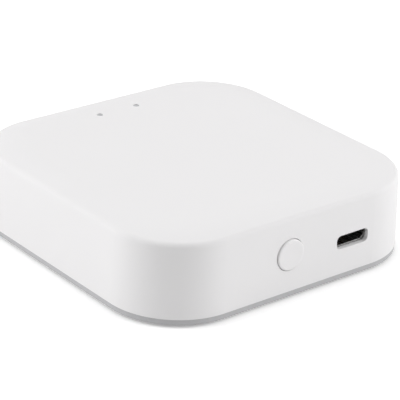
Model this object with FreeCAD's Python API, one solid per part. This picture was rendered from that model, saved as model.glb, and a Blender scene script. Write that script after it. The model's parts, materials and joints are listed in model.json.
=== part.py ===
import FreeCAD, Part
import math
import os

# Wi-Fi lighting controller: a small square gateway case that lies on four rubber feet.
# Millimetres, +Z up. X runs along the front face, which has the reset button and the port.
# Y runs from the front face to the back. The origin is on the table, under the middle.

# Case, outside
case_width = 60.0
case_depth = 60.0
case_height = 15.8
corner_radius = 13.4
draft_angle = 2.0
rim_height = 1.5
edge_radius = 1.0
crown_radius = 18.0
crown_margin = 5.5

# Case, inside
case_wall = 1.6
case_roof = 1.6
cavity_edge_radius = 1.0

# Base cover
foot_proud = 0.45
floor_thick = 1.35
plinth_inset = 0.08
plinth_chamfer = 0.15
lip_height = 2.0
lip_thick = 1.2
lip_gap = 0.1

# Rubber feet
foot_radius = 4.0
foot_thick = 1.0
foot_edge_radius = 0.2
foot_pocket_gap = 0.1

# Rating label, left blank
label_width = 32.0
label_depth = 20.0
label_corner_radius = 1.5
label_thick = 0.1
label_sink = 0.05
label_gap = 0.25

# Case screws, driven from below and hidden by the feet
tower_inset = 8.8
case_screw_radius = 1.0
case_screw_length = 8.0
case_head_radius = 1.9
case_head_height = 1.2
head_gap = 0.25
head_room = 0.3
thread_gap = 0.03
shank_gap = 0.15
screw_point = 0.4
tower_wall = 1.2
screw_seat_thick = 1.4
boss_radius = 2.6
pilot_spare = 1.0
cross_width = 0.5
cross_share = 0.6
head_edge_radius = 0.35

# Main board
board_thick = 1.6
board_rise = 2.8
board_front_gap = 1.4
board_side_gap = 2.9
board_back_gap = 2.9
board_corner_gap = 0.4
board_screw_inset = 3.2
board_screw_back = 15.0
board_screw_radius = 0.9
board_screw_length = 3.5
board_head_radius = 1.6
board_head_height = 0.9
board_post_wall = 1.1
peg_radius = 0.9
peg_gap = 0.1
peg_post_radius = 1.8
peg_proud = 0.7
peg_spread = 12.0
peg_inset = 3.2

# Micro-USB socket
usb_x = 11.7
usb_width = 7.5
usb_height = 2.5
usb_depth = 5.0
usb_sheet = 0.3
usb_chamfer_width = 0.9
usb_chamfer_height = 1.0
usb_recess = 0.9
usb_tab_width = 0.8
usb_tab_depth = 1.3
usb_tab_inset = 0.8
port_gap = 0.15
port_pocket_radius = 0.5
port_side_lip = 0.15
port_corner_radius = 0.9
tongue_width = 4.0
tongue_thick = 0.6
tongue_inset = 0.8
tongue_drop = 0.35
insulator_depth = 0.9
contact_count = 5
contact_pitch = 0.65
contact_width = 0.3
contact_thick = 0.12
contact_setback = 0.4
contact_tail = 0.6

# Reset button
button_x = -2.5
button_radius = 2.82
button_gap = 0.12
button_proud = 0.3
button_edge_radius = 0.25
button_flange_width = 0.8
button_flange_thick = 0.7
button_stem_radius = 1.1
button_end_play = 0.05
button_travel = 0.35
board_notch_gap = 0.3

# Tact switch on the board, pressed from the side
switch_width = 6.0
switch_depth = 3.6
switch_height = 4.2
switch_plate = 0.2
switch_leg_width = 0.9
switch_leg_depth = 2.2
plunger_radius = 0.9
plunger_reach = 0.95
plunger_gap = 0.05
plunger_flange_width = 0.5
plunger_flange_thick = 0.6
dome_height = 0.6
dome_sheet = 0.1
dome_side_gap = 0.15
terminal_width = 0.7
terminal_length = 0.9
terminal_thick = 0.15
terminal_spread = 2.2

# Indicator lights
light_middle_x = 0.2
light_pitch = 8.35
light_inset = 7.5
light_hole_radius = 0.6
pipe_tip_gap = 0.04
pipe_tip_sink = 0.08
pipe_radius = 1.1
pipe_fit = 0.03
pipe_roof = 1.0
holder_wall = 0.8
holder_length = 4.0
light_gap = 0.3
led_width = 1.6
led_depth = 0.8
led_base_height = 0.35
led_lens_height = 0.35
led_lens_inset = 0.2

# Radio modules
module_width = 16.0
module_length = 20.0
module_thick = 0.8
module_back_gap = 8.2
module_spread = 13.0
shield_width = 13.6
shield_length = 12.0
shield_height = 2.0
shield_sheet = 0.2
shield_front_inset = 1.0
shield_edge_radius = 0.25
chip_side = 5.0
chip_height = 0.85
antenna_trace = 0.7
antenna_pitch = 1.7
antenna_turns = 4
antenna_reach = 4.2
antenna_thick = 0.1
joint_count = 6
joint_pitch = 2.0
joint_width = 0.9
joint_reach = 0.5

# Power parts
regulator_side = 0.0
regulator_back = 5.2
regulator_width = 6.5
regulator_depth = 3.5
regulator_height = 1.6
regulator_lead_pitch = 2.3
regulator_lead_width = 0.7
regulator_tab_width = 3.0
lead_reach = 1.7
lead_thick = 0.25
tantalum_width = 3.5
tantalum_depth = 2.8
tantalum_height = 1.9
capacitor_side = 7.5
capacitor_pitch = 4.6
fuse_side = 6.0
fuse_back = 2.6
fuse_width = 3.2
fuse_depth = 1.6
fuse_height = 0.8
diode_side = 0.6
diode_width = 4.3
diode_depth = 2.6
diode_height = 2.1
end_cap_length = 0.5
chip_part_width = 0.8
chip_part_length = 1.6
chip_part_height = 0.6
chip_part_pitch = 2.0
chip_row_gap = 1.2
resistor_count = 6
ceramic_count = 4

# Worked out from the sizes above
lean = math.tan(math.radians(draft_angle))
core_x = case_width / 2 - corner_radius
core_y = case_depth / 2 - corner_radius
ceiling_z = case_height - case_roof
floor_z = foot_proud + floor_thick
pocket_z = foot_thick
tower_x = case_width / 2 - tower_inset
tower_y = case_depth / 2 - tower_inset
case_seat_z = pocket_z + case_head_height + head_room
tower_top_z = case_seat_z + screw_seat_thick
tower_radius = case_head_radius + head_gap + tower_wall
board_z = floor_z + board_rise
board_top_z = board_z + board_thick
board_half_width = case_width / 2 - case_wall - board_side_gap
board_front_y = -case_depth / 2 + case_wall + board_front_gap
board_back_y = case_depth / 2 - case_wall - board_back_gap
usb_z = board_top_z + usb_height / 2
button_z = board_top_z + switch_height / 2
button_flange_radius = button_radius + button_flange_width
peg_y = board_back_y - peg_inset
board_screw_x = board_half_width - board_screw_inset
board_screw_y = board_front_y + board_screw_back
light_y = case_depth / 2 - light_inset
module_back_y = board_back_y - module_back_gap
module_front_y = module_back_y - module_length
module_top_z = board_top_z + module_thick
chip_row_y = module_front_y - chip_row_gap - chip_part_length / 2


def wall_half_depth(inset, height):
    """Half the depth of the case at a height, to a wall that lies inset from the outer face."""
    return case_depth / 2 - inset - lean * (height - rim_height)


usb_mouth_y = -wall_half_depth(0.0, usb_z) + usb_recess
usb_back_y = usb_mouth_y + usb_depth
button_face_y = -wall_half_depth(0.0, button_z) - button_proud
flange_front_y = -wall_half_depth(case_wall, button_z + button_flange_radius) + button_end_play
flange_back_y = flange_front_y + button_flange_thick
notch_back_y = flange_back_y + button_travel + board_notch_gap
switch_front_y = notch_back_y + terminal_length
plunger_tip_y = switch_front_y - plunger_reach
stem_end_y = plunger_tip_y - plunger_gap
switch_cavity_y = switch_front_y + switch_plate
plunger_flange_y = switch_cavity_y + plunger_gap
dome_front_y = plunger_flange_y + plunger_flange_thick + plunger_gap
dome_back_y = dome_front_y + dome_height
plunger_flange_radius = plunger_radius + plunger_flange_width
dome_radius = plunger_flange_radius + dome_side_gap
power_front_y = usb_back_y + fuse_back
regulator_x = usb_x + regulator_side
regulator_y = power_front_y + regulator_back


def vec(x, y, z):
    """A point or direction."""
    return FreeCAD.Vector(x, y, z)


def post(x, y, z_low, z_high, radius):
    """A round post that stands along Z."""
    return Part.makeCylinder(radius, z_high - z_low, vec(x, y, z_low), vec(0, 0, 1))


def rod(x, z, y_front, y_back, radius):
    """A round rod that lies along Y."""
    return Part.makeCylinder(radius, y_back - y_front, vec(x, y_front, z), vec(0, 1, 0))


def block(x, y, z_low, width, depth, height):
    """A box that stands on a height, centred on a point in X and Y."""
    return Part.makeBox(width, depth, height, vec(x - width / 2, y - depth / 2, z_low))


def prism(points, travel):
    """A solid with a flat polygon as its section."""
    return Part.Face(Part.makePolygon(points + points[:1])).extrude(travel)


def rounded_plate(x, y, z_low, width, depth, height, radius):
    """A plate with round upright corners, centred on a point in X and Y."""
    plate = block(x, y, z_low, width, depth, height)
    uprights = [e for e in plate.Edges if abs(e.tangentAt(e.FirstParameter).z) > 0.5]
    return plate.makeFillet(radius, uprights)


def corner_signs():
    """The four corners, as a pair of signs each."""
    return [(sx, sy) for sx in (-1, 1) for sy in (-1, 1)]


def wall_offset(inset, height):
    """How far a wall that lies inset from the outer face is from its corner's axis."""
    return corner_radius - inset - lean * (height - rim_height)


def carry_round(profile):
    """Carry a closed profile, drawn outwards from a corner's axis, round the whole case."""
    face = Part.Face(profile)
    box = face.BoundBox
    half_sides = [(core_x, core_y), (core_y, core_x)] * 2
    core = block(0, 0, box.ZMin, 2 * core_x, 2 * core_y, box.ZLength)
    pieces = []
    for turn, (out, along) in enumerate(half_sides):
        angle = 90 * turn
        side = face.translated(vec(out, -along, 0)).extrude(vec(0, 2 * along, 0))
        corner = face.revolve(vec(0, 0, 0), vec(0, 0, 1), 90).translated(vec(out, along, 0))
        pieces.append(side.rotated(vec(0, 0, 0), vec(0, 0, 1), angle))
        pieces.append(corner.rotated(vec(0, 0, 0), vec(0, 0, 1), angle))
    return core.multiFuse(pieces).removeSplitter()


def plain_body(inset, z_low, z_high, chamfer=0.0):
    """A body in the plan of the case, flat on top, with a chamfer along its lower edge."""
    low = wall_offset(inset, z_low)
    points = [
        vec(0, 0, z_low),
        vec(low - chamfer, 0, z_low),
        vec(wall_offset(inset, z_low + chamfer), 0, z_low + chamfer),
        vec(wall_offset(inset, z_high), 0, z_high),
        vec(0, 0, z_high),
    ]
    if chamfer == 0.0:
        points.pop(1)
    return carry_round(Part.makePolygon(points + points[:1]))


def on_circle(middle, radius, angle):
    """A point of a circle in the XZ plane."""
    return middle + vec(radius * math.cos(angle), 0, radius * math.sin(angle))


def rounded_body(inset, z_low, z_high, radius):
    """A body in the plan of the case with a round upper edge."""
    draft = math.radians(draft_angle)
    upright = math.pi / 2
    middle_z = z_high - radius
    middle = vec(wall_offset(inset, middle_z) - radius / math.cos(draft), 0, middle_z)
    wall_end = on_circle(middle, radius, draft)
    bend = on_circle(middle, radius, (draft + upright) / 2)
    top_end = on_circle(middle, radius, upright)
    corners = [vec(0, 0, z_high), vec(0, 0, z_low), vec(wall_offset(inset, z_low), 0, z_low)]
    edges = [
        Part.LineSegment(top_end, corners[0]).toShape(),
        Part.LineSegment(corners[0], corners[1]).toShape(),
        Part.LineSegment(corners[1], corners[2]).toShape(),
        Part.LineSegment(corners[2], wall_end).toShape(),
        Part.Arc(wall_end, bend, top_end).toShape(),
    ]
    return carry_round(Part.Wire(edges))


def crowned_body():
    """The outside of the top cover: drafted walls, a soft edge and a gently crowned top."""
    draft = math.radians(draft_angle)
    upright = math.pi / 2
    flat_end = vec(wall_offset(0.0, case_height) - crown_margin, 0, case_height)
    crown_middle = flat_end - vec(0, 0, crown_radius)
    # The edge's arc touches the wall line and, from inside, the crown's arc.
    reach = crown_radius - edge_radius
    base = corner_radius + lean * rim_height - edge_radius / math.cos(draft) - crown_middle.x
    a = lean * lean + 1
    b = base * lean + crown_middle.z
    c = base * base + crown_middle.z ** 2 - reach * reach
    edge_z = (b + math.sqrt(b * b - a * c)) / a
    edge_middle = vec(crown_middle.x + base - lean * edge_z, 0, edge_z)
    crown_end_angle = math.atan2(edge_z - crown_middle.z, edge_middle.x - crown_middle.x)
    wall_end = on_circle(edge_middle, edge_radius, draft)
    edge_bend = on_circle(edge_middle, edge_radius, (draft + crown_end_angle) / 2)
    crown_end = on_circle(crown_middle, crown_radius, crown_end_angle)
    crown_bend = on_circle(crown_middle, crown_radius, (crown_end_angle + upright) / 2)
    foot = vec(wall_offset(0.0, rim_height), 0, rim_height)
    edges = [
        Part.LineSegment(vec(0, 0, case_height), vec(0, 0, rim_height)).toShape(),
        Part.LineSegment(vec(0, 0, rim_height), foot).toShape(),
        Part.LineSegment(foot, wall_end).toShape(),
        Part.Arc(wall_end, edge_bend, crown_end).toShape(),
        Part.Arc(crown_end, crown_bend, flat_end).toShape(),
        Part.LineSegment(flat_end, vec(0, 0, case_height)).toShape(),
    ]
    return carry_round(Part.Wire(edges))


def light_places():
    """Where the two indicator lights are along X, the left one first."""
    return [light_middle_x - light_pitch / 2, light_middle_x + light_pitch / 2]


def port_cut(front_y, back_y, width, height, radius):
    """A round-cornered cut along Y, centred on the socket."""
    plate = rounded_plate(0, 0, 0, width, height, back_y - front_y, radius)
    plate.rotate(vec(0, 0, 0), vec(1, 0, 0), 90)
    plate.translate(vec(usb_x, back_y, usb_z))
    return plate


def port_holes():
    """The opening in the front wall for the cable's plug, and the pocket behind it for the socket."""
    front_y = -case_depth / 2 - case_wall
    back_y = -case_depth / 2 + 2 * case_wall
    pocket_y = usb_mouth_y - port_gap
    open_width = usb_width - 2 * port_side_lip
    pocket_width = usb_width + 2 * port_gap
    pocket_height = usb_height + 2 * port_gap
    opening = port_cut(front_y, back_y, open_width, usb_height, port_corner_radius)
    pocket = port_cut(pocket_y, back_y, pocket_width, pocket_height, port_pocket_radius)
    return [opening, pocket]


def top_cover():
    """The upper shell, with its screw bosses and the holders of the light pipes."""
    shell = crowned_body()
    cavity = rounded_body(case_wall, rim_height - case_wall, ceiling_z, cavity_edge_radius)
    shell = shell.cut(cavity)
    root_z = ceiling_z + case_roof / 2
    added = []
    holes = port_holes()
    pilot_end_z = case_seat_z + case_screw_length + pilot_spare
    for sx, sy in corner_signs():
        added.append(post(sx * tower_x, sy * tower_y, tower_top_z, root_z, boss_radius))
        pilot_radius = case_screw_radius + thread_gap
        holes.append(post(sx * tower_x, sy * tower_y, 0, pilot_end_z, pilot_radius))
    bore_radius = pipe_radius + pipe_fit
    holder_end_z = ceiling_z - holder_length
    bore_end_z = case_height - pipe_roof
    for x in light_places():
        added.append(post(x, light_y, holder_end_z, root_z, bore_radius + holder_wall))
        holes.append(post(x, light_y, holder_end_z - 1, bore_end_z, bore_radius))
        holes.append(post(x, light_y, holder_end_z, case_height + 1, light_hole_radius))
    hole_radius = button_radius + button_gap
    holes.append(rod(button_x, button_z, -case_depth / 2 - 1, flange_back_y, hole_radius))
    return shell.multiFuse(added).cut(Part.makeCompound(holes))


def base_cover():
    """The lower shell: floor, plinth, lip, screw towers, board posts and pegs."""
    lip_inset = case_wall + lip_gap
    body = plain_body(plinth_inset, foot_proud, rim_height, plinth_chamfer)
    lip = plain_body(lip_inset, foot_proud + plinth_chamfer, rim_height + lip_height)
    well = plain_body(lip_inset + lip_thick, floor_z, rim_height + 2 * lip_height)
    added = [lip.cut(well)]
    holes = []
    for sx, sy in corner_signs():
        x = sx * tower_x
        y = sy * tower_y
        added.append(post(x, y, floor_z - floor_thick / 2, tower_top_z, tower_radius))
        holes.append(post(x, y, 0, pocket_z, foot_radius + foot_pocket_gap))
        holes.append(post(x, y, 0, case_seat_z, case_head_radius + head_gap))
        holes.append(post(x, y, 0, tower_top_z + 1, case_screw_radius + shank_gap))
    pilot_end_z = board_top_z - board_screw_length - thread_gap
    for side in (-1, 1):
        x = side * board_screw_x
        pilot_radius = board_screw_radius + thread_gap
        post_radius = board_screw_radius + board_post_wall
        added.append(post(x, board_screw_y, floor_z - floor_thick / 2, board_z, post_radius))
        holes.append(post(x, board_screw_y, pilot_end_z, board_z + 1, pilot_radius))
        x = side * peg_spread
        added.append(post(x, peg_y, floor_z - floor_thick / 2, board_z, peg_post_radius))
        added.append(post(x, peg_y, floor_z, board_top_z + peg_proud, peg_radius))
    recess_width = label_width + 2 * label_gap
    recess_depth = label_depth + 2 * label_gap
    recess_top = label_sink + label_thick
    recess_radius = label_corner_radius + label_gap
    recess = rounded_plate(
        0, 0, 0, recess_width, recess_depth, foot_proud + recess_top, recess_radius
    )
    holes.append(recess)
    return body.multiFuse(added).cut(Part.makeCompound(holes))


def rubber_feet():
    """Four round pads, each stuck in a pocket over a case screw."""
    feet = []
    for sx, sy in corner_signs():
        pad = post(sx * tower_x, sy * tower_y, 0, foot_thick, foot_radius)
        rims = [e for e in pad.Edges if e.BoundBox.ZMax < foot_edge_radius]
        feet.append(pad.makeFillet(foot_edge_radius, rims))
    return Part.makeCompound(feet)


def rating_label():
    """A blank label in the recess under the base."""
    return rounded_plate(
        0, 0, foot_proud + label_sink, label_width, label_depth, label_thick, label_corner_radius
    )


def screw(radius, length, head_radius, head_height):
    """A pan-head screw that points up from the plane under its head."""
    head = post(0, 0, -head_height, 0, head_radius)
    rims = [e for e in head.Edges if e.BoundBox.ZMax < -head_height / 2]
    head = head.makeFillet(head_edge_radius, rims)
    shank = post(0, 0, 0, length - screw_point, radius)
    tip_radius = radius - screw_point
    tip = Part.makeCone(radius, tip_radius, screw_point, vec(0, 0, length - screw_point))
    slot_length = 2 * head_radius * cross_share
    slot_depth = head_height * cross_share
    slots = [
        block(0, 0, -head_height, slot_length, cross_width, slot_depth),
        block(0, 0, -head_height, cross_width, slot_length, slot_depth),
    ]
    return head.multiFuse([shank, tip]).cut(Part.makeCompound(slots)).removeSplitter()


def case_screws():
    """The four screws that hold the base to the top cover."""
    one = screw(case_screw_radius, case_screw_length, case_head_radius, case_head_height)
    places = [vec(sx * tower_x, sy * tower_y, case_seat_z) for sx, sy in corner_signs()]
    return Part.makeCompound([one.translated(place) for place in places])


def board_screws():
    """The two screws that hold the board to its posts."""
    one = screw(board_screw_radius, board_screw_length, board_head_radius, board_head_height)
    one.rotate(vec(0, 0, 0), vec(1, 0, 0), 180)
    places = [vec(side * board_screw_x, board_screw_y, board_top_z) for side in (-1, 1)]
    return Part.makeCompound([one.translated(place) for place in places])


def corner_notch(sx, sy):
    """What the board leaves free in a corner, round a screw boss and out to the corner."""
    x = sx * tower_x
    y = sy * tower_y
    radius = tower_radius + board_corner_gap
    far = max(case_width, case_depth) / 2
    middle = (far - radius) / 2
    wide = block(x + sx * middle, y + sy * far / 2, board_z, far + radius, far, board_thick)
    deep = block(x + sx * far / 2, y + sy * middle, board_z, far, far + radius, board_thick)
    return post(x, y, board_z, board_top_z, radius).multiFuse([wide, deep])


def main_board():
    """The circuit board, notched round the screw bosses and behind the button."""
    depth = board_back_y - board_front_y
    middle_y = (board_back_y + board_front_y) / 2
    plate = block(0, middle_y, board_z, 2 * board_half_width, depth, board_thick)
    holes = [corner_notch(sx, sy) for sx, sy in corner_signs()]
    for side in (-1, 1):
        hole_radius = board_screw_radius + shank_gap
        holes.append(post(side * board_screw_x, board_screw_y, board_z, board_top_z, hole_radius))
        holes.append(post(side * peg_spread, peg_y, board_z, board_top_z, peg_radius + peg_gap))
    notch_width = 2 * (button_flange_radius + board_notch_gap)
    notch_depth = 2 * (notch_back_y - board_front_y)
    holes.append(block(button_x, board_front_y, board_z, notch_width, notch_depth, board_thick))
    return plate.cut(Part.makeCompound(holes))


def usb_section(shrink, y):
    """The points of the socket's section, wide above and narrow below, shrunk all round."""
    half = usb_width / 2 - shrink
    top = usb_z + usb_height / 2 - shrink
    low = usb_z - usb_height / 2 + shrink
    slope = math.hypot(usb_chamfer_width, usb_chamfer_height)
    bend = usb_z - usb_height / 2 + usb_chamfer_height
    bend += shrink * (slope - usb_chamfer_height) / usb_chamfer_width
    foot = usb_width / 2 - usb_chamfer_width
    foot -= shrink * (slope - usb_chamfer_width) / usb_chamfer_height
    corners = [(half, top), (half, bend), (foot, low), (-foot, low), (-half, bend), (-half, top)]
    return [vec(usb_x + x, y, z) for x, z in corners]


def usb_shell():
    """The folded steel shell of the socket, with four soldered tabs."""
    body = prism(usb_section(0.0, usb_mouth_y), vec(0, usb_depth, 0))
    hollow = prism(usb_section(usb_sheet, usb_mouth_y), vec(0, usb_depth, 0))
    tabs = []
    for side in (-1, 1):
        x = usb_x + side * (usb_width + usb_tab_width) / 2
        front_y = max(board_front_y, usb_mouth_y) + usb_tab_inset
        back_y = usb_back_y - usb_tab_depth / 2
        upright_z = usb_height - usb_chamfer_height
        for y in (front_y, back_y):
            tabs.append(block(x, y, board_top_z, usb_tab_width, usb_tab_depth, usb_sheet))
            x_leg = usb_x + side * (usb_width + usb_sheet) / 2
            tabs.append(block(x_leg, y, board_top_z, usb_sheet, usb_tab_depth, upright_z))
    return body.multiFuse(tabs).cut(hollow).removeSplitter()


def usb_contact(x):
    """One sprung contact, from the tongue through the insulator to its tail on the board."""
    under_z = usb_z + usb_height / 2 - usb_sheet - tongue_drop - tongue_thick
    front_y = usb_mouth_y + tongue_inset + contact_setback
    turn_y = usb_back_y + contact_thick
    end_y = turn_y + contact_tail
    corners = [
        (front_y, under_z),
        (front_y, under_z - contact_thick),
        (turn_y - contact_thick, under_z - contact_thick),
        (turn_y - contact_thick, board_top_z),
        (end_y, board_top_z),
        (end_y, board_top_z + contact_thick),
        (turn_y, board_top_z + contact_thick),
        (turn_y, under_z),
    ]
    start = x - contact_width / 2
    return prism([vec(start, y, z) for y, z in corners], vec(contact_width, 0, 0))


def usb_contacts():
    """The row of contacts of the socket."""
    first = usb_x - contact_pitch * (contact_count - 1) / 2
    return Part.makeCompound([usb_contact(first + i * contact_pitch) for i in range(contact_count)])


def usb_insulator():
    """The plastic tongue and the block that fills the back of the shell."""
    filler = prism(usb_section(usb_sheet, usb_back_y - insulator_depth), vec(0, insulator_depth, 0))
    tongue_top = usb_z + usb_height / 2 - usb_sheet - tongue_drop
    length = usb_depth - tongue_inset
    middle_y = usb_back_y - length / 2
    tongue = block(usb_x, middle_y, tongue_top - tongue_thick, tongue_width, length, tongue_thick)
    return filler.fuse(tongue).cut(usb_contacts()).removeSplitter()


def reset_button():
    """The round button: a cap in the front wall, a flange that keeps it in, and a stem."""
    cap = rod(button_x, button_z, button_face_y, flange_back_y, button_radius)
    rims = [e for e in cap.Edges if e.BoundBox.YMax < button_face_y + button_edge_radius]
    cap = cap.makeFillet(button_edge_radius, rims)
    flange = rod(button_x, button_z, flange_front_y, flange_back_y, button_flange_radius)
    stem = rod(button_x, button_z, flange_back_y, stem_end_y, button_stem_radius)
    return cap.multiFuse([flange, stem]).removeSplitter()


def switch_housing():
    """The moulded body of the tact switch."""
    depth = switch_depth - switch_plate
    middle_y = switch_cavity_y + depth / 2
    body = block(button_x, middle_y, board_top_z, switch_width, depth, switch_height)
    cavity_radius = dome_radius + plunger_gap
    return body.cut(rod(button_x, button_z, switch_cavity_y, dome_back_y, cavity_radius))


def switch_cover():
    """The steel plate over the front of the switch, with a leg folded back on each side."""
    middle_y = switch_front_y + switch_plate / 2
    outer_width = switch_width + 2 * switch_plate
    plate = block(button_x, middle_y, board_top_z, outer_width, switch_plate, switch_height)
    legs = []
    for side in (-1, 1):
        x = button_x + side * (switch_width + switch_plate) / 2
        y = switch_front_y + switch_leg_depth / 2
        legs.append(block(x, y, board_top_z, switch_plate, switch_leg_depth, switch_height))
        x = button_x + side * (outer_width + switch_leg_width) / 2
        legs.append(block(x, y, board_top_z, switch_leg_width, switch_leg_depth / 2, switch_plate))
    hole = rod(button_x, button_z, switch_front_y, switch_cavity_y, plunger_radius + plunger_gap)
    return plate.multiFuse(legs).cut(hole).removeSplitter()


def switch_plunger():
    """The pin that the button pushes, with the flange that presses the dome."""
    stem = rod(button_x, button_z, plunger_tip_y, plunger_flange_y, plunger_radius)
    flange_back = plunger_flange_y + plunger_flange_thick
    flange = rod(button_x, button_z, plunger_flange_y, flange_back, plunger_flange_radius)
    return stem.fuse(flange).removeSplitter()


def switch_dome():
    """The sprung steel dome that clicks and pushes the plunger back."""
    sphere_radius = (dome_radius ** 2 + dome_height ** 2) / (2 * dome_height)
    middle_y = dome_front_y + sphere_radius
    ball = Part.makeSphere(sphere_radius, vec(button_x, middle_y, button_z))
    hollow = Part.makeSphere(sphere_radius - dome_sheet, vec(button_x, middle_y, button_z))
    keep = rod(button_x, button_z, dome_front_y - dome_sheet, dome_back_y, sphere_radius)
    return ball.cut(hollow).common(keep)


def switch_terminals():
    """The soldered legs at the back of the switch."""
    y = switch_front_y + switch_depth + terminal_length / 2
    legs = []
    for side in (-1, 1):
        x = button_x + side * terminal_spread
        legs.append(block(x, y, board_top_z, terminal_width, terminal_length, terminal_thick))
    return Part.makeCompound(legs)


def light_emitter(x):
    """A chip LED on the board, under its light pipe."""
    base = block(x, light_y, board_top_z, led_width, led_depth, led_base_height)
    lens_z = board_top_z + led_base_height
    lens = block(x, light_y, lens_z, led_width - 2 * led_lens_inset, led_depth, led_lens_height)
    return base.fuse(lens)


def light_pipe(x):
    """A clear pipe that carries the light up to its hole in the top."""
    low_z = board_top_z + led_base_height + led_lens_height + light_gap
    shoulder_z = case_height - pipe_roof - pipe_fit
    tip_z = case_height - pipe_tip_sink
    body = post(x, light_y, low_z, shoulder_z, pipe_radius)
    tip = post(x, light_y, shoulder_z, tip_z, light_hole_radius - pipe_tip_gap)
    return body.fuse(tip)


def module_board(x):
    """The small board of a radio module, soldered flat on the main board."""
    middle_y = module_back_y - module_length / 2
    return block(x, middle_y, board_top_z, module_width, module_length, module_thick)


def shield_middle_y():
    """Where the middle of a module's shield is along Y."""
    return module_front_y + shield_front_inset + shield_length / 2


def module_shield(x):
    """The drawn steel can over a module's chip."""
    y = shield_middle_y()
    can = block(x, y, module_top_z, shield_width, shield_length, shield_height)
    roof_z = module_top_z + shield_height
    outer = [e for e in can.Edges if e.BoundBox.ZMax > roof_z - shield_edge_radius]
    can = can.makeFillet(shield_edge_radius, outer)
    inner_width = shield_width - 2 * shield_sheet
    inner_length = shield_length - 2 * shield_sheet
    inside = block(x, y, module_top_z, inner_width, inner_length, shield_height - shield_sheet)
    return can.cut(inside)


def module_chip(x):
    """The processor chip under the shield."""
    return block(x, shield_middle_y(), module_top_z, chip_side, chip_side, chip_height)


def module_antenna(x):
    """The printed antenna, a folded copper trace at the free end of a module."""
    total = antenna_pitch * antenna_turns
    start_x = x - total / 2
    low_y = module_back_y - antenna_trace - antenna_reach
    strips = []
    for i in range(antenna_turns + 1):
        strip_x = start_x + i * antenna_pitch
        middle_y = low_y + antenna_reach / 2
        strips.append(
            block(strip_x, middle_y, module_top_z, antenna_trace, antenna_reach, antenna_thick)
        )
    for i in range(antenna_turns):
        link_x = start_x + (i + 0.5) * antenna_pitch
        link_y = low_y + (antenna_reach - antenna_trace / 2 if i % 2 == 0 else antenna_trace / 2)
        link_width = antenna_pitch + antenna_trace
        strips.append(
            block(link_x, link_y, module_top_z, link_width, antenna_trace, antenna_thick)
        )
    return strips[0].multiFuse(strips[1:]).removeSplitter()


def module_solder_joints():
    """The solder fillets along both long edges of each module."""
    joints = []
    first_y = shield_middle_y() - joint_pitch * (joint_count - 1) / 2
    for module_side in (-1, 1):
        for edge_side in (-1, 1):
            edge_x = module_side * module_spread + edge_side * module_width / 2
            for i in range(joint_count):
                y = first_y + i * joint_pitch - joint_width / 2
                corners = [
                    vec(edge_x, y, board_top_z),
                    vec(edge_x + edge_side * joint_reach, y, board_top_z),
                    vec(edge_x, y, module_top_z),
                ]
                joints.append(prism(corners, vec(0, joint_width, 0)))
    return Part.makeCompound(joints)


def voltage_regulator():
    """The moulded body of the regulator that makes the modules' supply."""
    lift = lead_thick / 2
    return block(
        regulator_x,
        regulator_y,
        board_top_z + lift,
        regulator_width,
        regulator_depth,
        regulator_height,
    )


def regulator_leads():
    """Three leads and the wide tab of the regulator."""
    front_y = regulator_y - (regulator_depth + lead_reach) / 2
    back_y = regulator_y + (regulator_depth + lead_reach) / 2
    leads = []
    for step in (-1, 0, 1):
        x = regulator_x + step * regulator_lead_pitch
        leads.append(block(x, front_y, board_top_z, regulator_lead_width, lead_reach, lead_thick))
    leads.append(block(regulator_x, back_y, board_top_z, regulator_tab_width, lead_reach, lead_thick))
    return Part.makeCompound(leads)


def tantalum_capacitor(y):
    """A moulded capacitor block."""
    x = usb_x - capacitor_side
    return block(x, y, board_top_z, tantalum_width, tantalum_depth, tantalum_height)


def resettable_fuse():
    """The flat fuse between the socket and the regulator."""
    x = usb_x - fuse_side
    return block(x, power_front_y, board_top_z, fuse_width, fuse_depth, fuse_height)


def surge_diode():
    """The moulded diode that clips surges on the supply."""
    x = usb_x + diode_side
    y = power_front_y
    pieces = [block(x, y, board_top_z, diode_width, diode_depth, diode_height)]
    for side in (-1, 1):
        end_x = x + side * (diode_width + end_cap_length) / 2
        pieces.append(block(end_x, y, board_top_z, end_cap_length, diode_depth / 2, lead_thick))
    return pieces[0].multiFuse(pieces[1:])


def chip_row(middle_x, count):
    """A row of small two-ended chip parts, in front of a module."""
    first_x = middle_x - chip_part_pitch * (count - 1) / 2
    row = []
    for i in range(count):
        x = first_x + i * chip_part_pitch
        length = chip_part_length
        row.append(block(x, chip_row_y, board_top_z, chip_part_width, length, chip_part_height))
    return Part.makeCompound(row)


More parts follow.
